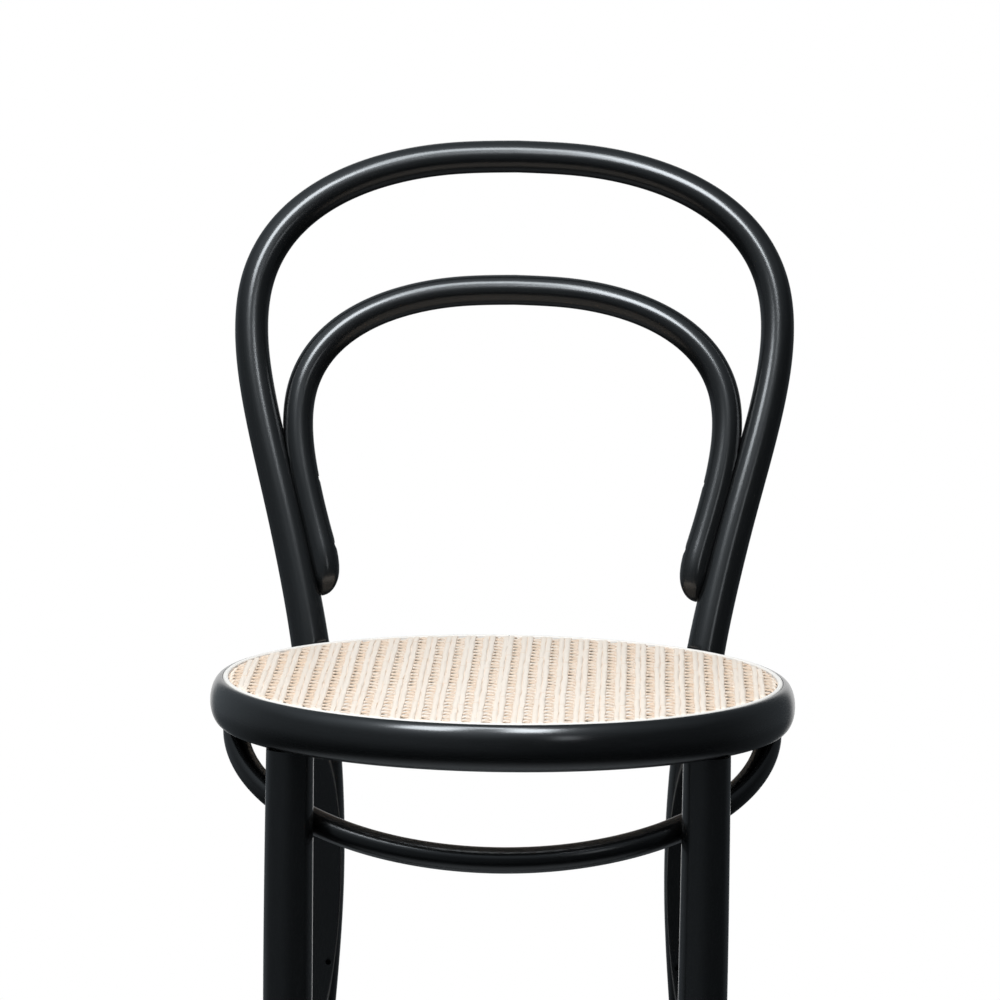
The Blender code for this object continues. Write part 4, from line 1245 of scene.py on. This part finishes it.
class STOOL_OT_cane_seat(Operator):
    """Weave the cane: lengthwise pairs on top, crosswise pairs under them, and two diagonals"""

    bl_idname = "stool.cane_seat"
    bl_label = "Cane Seat"

    def execute(self, context):
        cane = context.scene.stool_cane
        finish = woven_cane(context.scene.stool_finishes, cane)
        random = np.random.default_rng(cane.seed)
        reach = int(cane.radius / cane.pitch) + 1
        cells = np.arange(-reach, reach + 1)[:, None] * cane.pitch
        pairs = (cells + np.array([-0.5, 0.5]) * cane.pair).ravel()
        samples = (cells + np.append(np.array(PAIR_SAMPLES) * cane.pair, cane.pitch / 2)).ravel()
        slant = cane.pitch / math.sqrt(2)
        diagonals = (np.arange(-2 * reach, 2 * reach) + 0.5) * slant
        span = SLANT_REACH * reach
        slant_samples = np.arange(-span, span + 1) * slant / SLANT_SAMPLES
        straight = (pairs, samples, straight_rise)
        slanting = (diagonals, slant_samples, slanting_rise)
        half = math.sqrt(0.5)
        for name, direction, pattern, level, width, tones in (
            ("lengthwise", (0.0, 1.0), straight, PAIR_LEVEL, cane.lengthwise_width, (0.0, 0.3)),
            ("crosswise", (1.0, 0.0), straight, -PAIR_LEVEL, cane.crosswise_width, (0.1, 0.3)),
            ("diagonal_right", (half, half), slanting, 1, cane.diagonal_width, (0.1, 0.4)),
            ("diagonal_left", (half, -half), slanting, -1, cane.diagonal_width, (0.1, 0.4)),
        ):
            part, tones = CaneFamily(cane, direction, pattern, level, width, tones, random).part()
            piece = add_piece("cane_" + name, part, finish, "cane_panel", CANE_SHARP)
            mark(piece.data, "strand", tones)
        return {"FINISHED"}


# Fasteners and glides

SCREW_SIDES = 28
SCREW_TIP = 0.0040
SCREW_POINT = 0.0003
SCREW_RIM = 0.0002
SCREW_DOME = 0.0007
SCREW_DOME_PARTS = (0.15, 0.4, 0.65, 0.85, 1.0)
SLOT_SIZE = (2.6 * SCREW_HEAD, 0.0011, 0.0026)
BOX_CORNERS = np.array([(x, y, z) for x in (-0.5, 0.5) for y in (-0.5, 0.5) for z in (-0.5, 0.5)])
BOX_FACES = [(0, 1, 3, 2), (4, 6, 7, 5), (0, 4, 5, 1), (2, 3, 7, 6), (0, 2, 6, 4), (1, 5, 7, 3)]
BOLT_SIDES = 32
BOLT_ROWS = 150
BOLT_DOME = 0.8                 # share of the head's height
BOLT_SHANK = 0.0030
BOLT_NECK = 0.0004
BOLT_BEVEL = 0.0006
THREAD_PITCH = 0.0010
THREAD_DEPTH = 0.00044
THREAD_LENGTH = 0.022
THREAD_END = 0.0003
NUT_HALF_WIDTH = 0.0050
NUT_SIDES = 48
NUT_SHARP = 30.0
GLIDE_SIDES = 40
GLIDE_DISH = 0.002
GLIDE_SOLE = 0.0016
GLIDE_RIM = 0.0014
GLIDE_LIP = 0.0006
GLIDE_PIN = 0.00225
GLIDE_BEVEL = 0.0008


class STOOL_OT_screws(Operator):
    """Drive the browned wood screws, each with a slot in its head"""

    bl_idname = "stool.screws"
    bl_label = "Screws"

    def execute(self, context):
        finish = steel("stool_browned_steel", context.scene.stool_finishes.browned, 0.32)
        for node in [name for names in SCREW_NODES.values() for name in names]:
            head, direction, reach = node_axis(node)
            matrix = aim(head, direction)
            dome = [(part * SCREW_HEAD, SCREW_DOME * (part ** 2 - 1)) for part in SCREW_DOME_PARTS]
            profile = dome + [
                (SCREW_HEAD, SCREW_RIM), (SCREW_SHANK, SCREW_HEAD - SCREW_SHANK),
                (SCREW_SHANK, reach - SCREW_TIP), (SCREW_POINT, reach),
            ]
            piece = add_piece(node.replace("_screw", "") + "_woodscrew",
                              turned(profile, matrix, SCREW_SIDES), finish, node)
            cut(piece, placed(BOX_CORNERS * SLOT_SIZE, matrix), BOX_FACES)
        return {"FINISHED"}


def bolt_thread(radius, height, angles):
    """Thread on the bolt's last stretch: a rounded ridge that climbs one pitch for each turn."""
    end = height.max()
    ridge = np.cos(2 * math.pi * height / THREAD_PITCH - angles)
    threaded = (height > end - THREAD_LENGTH) & (height < end - THREAD_END) & (radius < 1.2 * BOLT_SHANK)
    return radius + np.where(threaded, THREAD_DEPTH / 2 * (ridge - 1.0), 0.0)


def hexagon(radius, height, angles):
    """Radius kept inside a nut's six flats, apart from its bore."""
    flat = NUT_HALF_WIDTH / np.cos((angles + math.pi / 6) % (math.pi / 3) - math.pi / 6)
    return np.where(radius > 1.25 * BOLT_SHANK, np.minimum(radius, flat), radius)


COLLARS = (("washer", 0.0080, 0.0003, None), ("nut", 0.0062, 0.0006, hexagon))   # radius, bevel, form


class STOOL_OT_seat_bolts(Operator):
    """Bolt the rear legs to the ring with carriage bolts, washers and nuts"""

    bl_idname = "stool.seat_bolts"
    bl_label = "Seat Bolts"

    def execute(self, context):
        finish = steel("stool_zinc", context.scene.stool_finishes.zinc, 0.26)
        for side, _ in SIDES:
            head, direction, reach = node_axis("seat_bolt_" + side)
            matrix = aim(head, direction)
            dome = BOLT_DOME * BOLT_HEAD_HEIGHT
            shank = np.linspace(BOLT_HEAD_HEIGHT + BOLT_NECK, reach - BOLT_BEVEL, BOLT_ROWS)
            rows = np.vstack([
                arc((0.0, dome), (BOLT_HEAD, -dome), 86.0, 0.0, 8),
                [(BOLT_HEAD, BOLT_HEAD_HEIGHT), (BOLT_SHANK, BOLT_HEAD_HEIGHT)],
                np.stack([np.full_like(shank, BOLT_SHANK), shank], axis=1),
                [(BOLT_SHANK - BOLT_BEVEL, reach)],
            ])
            part = turned(rows, matrix, BOLT_SIDES, bolt_thread)
            add_piece("carriage_bolt_" + side, part, finish, "seat_bolt_" + side)
            for name, outer, ease, twist in COLLARS:
                node = f"seat_{name}_{side}"
                run = (node_points(node) - head) @ direction
                low, high = run.min(), run.max()
                bore = BOLT_SHANK + CLEARANCE
                rows = [
                    (bore, low + ease), (bore + ease, low), (outer - ease, low), (outer, low + ease),
                    (outer, high - ease), (outer - ease, high), (bore + ease, high), (bore, high - ease),
                ]
                part = turned(rows, matrix, NUT_SIDES, twist, closed=True)
                add_piece(node + "_plated", part, finish, node, NUT_SHARP)
        return {"FINISHED"}


class STOOL_OT_glides(Operator):
    """Press a glide under each foot"""

    bl_idname = "stool.glides"
    bl_label = "Glides"

    def execute(self, context):
        finish = grey_nylon(context.scene.stool_finishes.nylon)
        thick = FOOT_HEIGHT - CLEARANCE
        for end, side in [(end, side) for end in ("front", "rear") for side, _ in SIDES]:
            node = f"{end}_glide_{side}"
            low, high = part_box(node)
            base = (high.x - low.x) / 2
            rows = np.vstack([
                [(GLIDE_DISH, 0.0), (base - GLIDE_SOLE, 0.0)],
                arc((base - GLIDE_RIM, GLIDE_RIM), GLIDE_RIM, 270.0, 360.0, 5),
                arc((base - GLIDE_LIP, thick - GLIDE_LIP), GLIDE_LIP, 0.0, 90.0, 3),
                [(GLIDE_PIN, thick), (GLIDE_PIN, high.z - GLIDE_BEVEL), (GLIDE_PIN - GLIDE_BEVEL, high.z)],
            ])
            place = ((low.x + high.x) / 2, (low.y + high.y) / 2 - SEAT_AXIS[1], 0.0)
            part = turned(rows, Matrix.Translation(place), GLIDE_SIDES)
            add_piece(f"glide_{end}_{side}", part, finish, node)
        return {"FINISHED"}


# Stage

FLOOR_RADII = np.linspace(0.05, 1.1, 12)
FLOOR_SIDES = 64
FLOOR_FADE = (0.385, 1.078)     # radii at which the floor starts to fade and is gone
LIGHT_RISE = 0.15               # middle of the lit object above the seat
LAMP_COLOUR = (0.94, 1.0, 1.05)
SOFTBOXES = (                   # each bar's two ends from that middle, and its width
    ("top", (-0.45, -0.37, 1.60), (0.22, -0.54, 1.60), 0.42),
    ("left", (-0.45, -0.60, 1.53), (-0.77, -1.06, 1.06), 0.54),
    ("right", (0.28, -0.63, 1.55), (0.27, -1.24, 1.12), 0.40),
    ("strip", (0.87, -1.79, 0.42), (0.80, -1.65, 0.80), 0.26),
)


def lay_floor(stage):
    """Round floor that fades out, so that it has no edge."""
    turn = round_angles(FLOOR_SIDES)
    points = polar(FLOOR_RADII[:, None], turn, 0.0)
    points, faces, _ = surface(points, np.append(turn, 2 * math.pi), FLOOR_RADII)
    mesh = bpy.data.meshes.new("studio_floor")
    mesh.from_pydata(points.tolist(), [], faces[:-1])
    mesh.update()
    paint = Finish("studio_floor")
    x, y, _ = paint.split(paint.place("Object"))
    away = (x * x + y * y) ** 0.5
    paint.set(Base_Color=stage.floor, Roughness=0.9, Specular_IOR_Level=0.1,
              Alpha=1 - away.above(*FLOOR_FADE))
    mesh.materials.append(paint.material)
    floor = bpy.data.objects.new("studio_floor", mesh)
    bpy.context.scene.collection.objects.link(floor)


def light_world(scene, stage):
    """Dim, slightly cool room that the camera sees as white.

    The walls darken from left to right and towards the floor. The ceiling darkens to the right and
    to the rear, and behind the object a low backdrop shows in reflections.
    """
    world = bpy.data.worlds.new("studio")
    scene.world = world
    studio = Tree(world)
    x, y, z = studio.split(studio.place("Generated"))
    ceiling = z.above(0.25, 0.80) * (1 - 0.6 * x.above(-0.2, 0.7)) * (1 - 0.7 * y.above(-0.2, 0.5))
    behind = y.above(0.10, 0.60) * (1 - z.above(0.30, 0.70)) * z.above(-0.75, -0.25)
    walls = stage.left_wall + (stage.right_wall - stage.left_wall) * x.above(-0.7, 0.5)
    room = walls * z.above(-0.60, 0.10) + stage.ceiling * ceiling + stage.backdrop * behind + 0.02
    tinted = studio.add("ShaderNodeCombineColor", None, {
        "Red": 0.88 * room, "Green": room, "Blue": 1.10 * room,
    })
    path = studio.add("ShaderNodeLightPath", None, None, "Is Camera Ray")
    white = path + path.output("Is Transmission Ray") + path.output("Is Glossy Ray") * y.above(0.90, 0.98)
    background = studio.graph.nodes["Background"]
    studio.join(background.inputs["Color"], studio.mix(white.above(0.0, 1.0), tinted, (1.0, 1.0, 1.0)))


def add_softbox(name, target, start, end, width, brightness):
    """Area lamp that faces its target, along a bar whose two ends are given from the target."""
    start, end = Vector(start), Vector(end)
    along = (end - start).normalized()
    middle = (start + end) / 2
    outward = (middle - along * middle.dot(along)).normalized()
    lamp = bpy.data.lights.new(name, "AREA")
    lamp.shape = "RECTANGLE"
    lamp.size, lamp.size_y = (end - start).length, width
    lamp.energy = brightness * math.pi * lamp.size * lamp.size_y
    lamp.color = LAMP_COLOUR
    box = bpy.data.objects.new(name, lamp)
    bpy.context.scene.collection.objects.link(box)
    axes = Matrix((along, outward.cross(along), outward)).transposed().to_4x4()
    box.matrix_world = Matrix.Translation(target + middle) @ axes


def place_camera(scene, stage, seat):
    """Camera at the photograph's angle, turned so that the seat's middle has its place in the image."""
    lens = bpy.data.cameras.new("camera")
    lens.sensor_width = 36.0
    lens.lens = stage.focal * lens.sensor_width
    lens.clip_end = 100.0
    camera = bpy.data.objects.new("camera", lens)
    scene.collection.objects.link(camera)
    lift, turn = stage.elevation, stage.turn
    back = Vector((math.sin(turn) * math.cos(lift), -math.cos(turn) * math.cos(lift), math.sin(lift)))
    right = Vector((math.cos(turn), math.sin(turn), 0.0))
    axes = Matrix((right, back.cross(right), back)).transposed().to_4x4()
    aim_up = Matrix.Rotation(math.atan(stage.seat_down / stage.focal), 4, "X")
    aim_left = Matrix.Rotation(math.atan(stage.seat_across / stage.focal), 4, "Y")
    roll = Matrix.Rotation(stage.roll, 4, "Z")
    camera.matrix_world = Matrix.Translation(seat + back * stage.distance) @ axes @ roll @ aim_up @ aim_left
    scene.camera = camera


class STOOL_OT_stage(Operator):
    """Lay the floor, light the studio and place the camera"""

    bl_idname = "stool.stage"
    bl_label = "Stage"

    def execute(self, context):
        scene = context.scene
        stage = scene.stool_stage
        scene.view_settings.view_transform = "Standard"
        seat = Vector((0.0, SEAT_AXIS[1], scene.stool_sizes.seat_height))
        lay_floor(stage)
        light_world(scene, stage)
        middle = seat + Vector((0.0, 0.0, LIGHT_RISE))
        for name, start, end, width in SOFTBOXES:
            add_softbox(name, middle, start, end, width, getattr(stage, name))
        place_camera(scene, stage, seat)
        return {"FINISHED"}


PIECES = (
    STOOL_OT_back_hoop, STOOL_OT_inner_loop, STOOL_OT_front_legs, STOOL_OT_seat_ring, STOOL_OT_cane_seat,
    STOOL_OT_cane_spline, STOOL_OT_seat_bow, STOOL_OT_foot_ring, STOOL_OT_screws, STOOL_OT_seat_bolts,
    STOOL_OT_glides, STOOL_OT_stage,
)
SETTINGS = {
    "stool_sizes": StoolSizes,
    "stool_cane": CaneSizes,
    "stool_finishes": StoolFinishes,
    "stool_stage": StoolStage,
}


class STOOL_PT_pieces(Panel):
    """Stool's pieces and settings in the sidebar"""

    bl_idname = "STOOL_PT_pieces"
    bl_label = "Bentwood Stool"
    bl_space_type = "VIEW_3D"
    bl_region_type = "UI"
    bl_category = "Stool"

    def draw(self, context):
        for operator in PIECES:
            self.layout.operator(operator.bl_idname)
        for name, group in SETTINGS.items():
            column = self.layout.box().column()
            for setting in group.__annotations__:
                column.prop(getattr(context.scene, name), setting)


def register():
    for group in (*SETTINGS.values(), *PIECES, STOOL_PT_pieces):
        bpy.utils.register_class(group)
    for name, group in SETTINGS.items():
        setattr(bpy.types.Scene, name, PointerProperty(type=group))


def unregister():
    for name in SETTINGS:
        delattr(bpy.types.Scene, name)
    for group in (STOOL_PT_pieces, *PIECES, *SETTINGS.values()):
        bpy.utils.unregister_class(group)


def main():
    register()
    for operator in PIECES:
        group, name = operator.bl_idname.split(".")
        getattr(getattr(bpy.ops, group), name)()


if __name__ == "__main__":
    main()
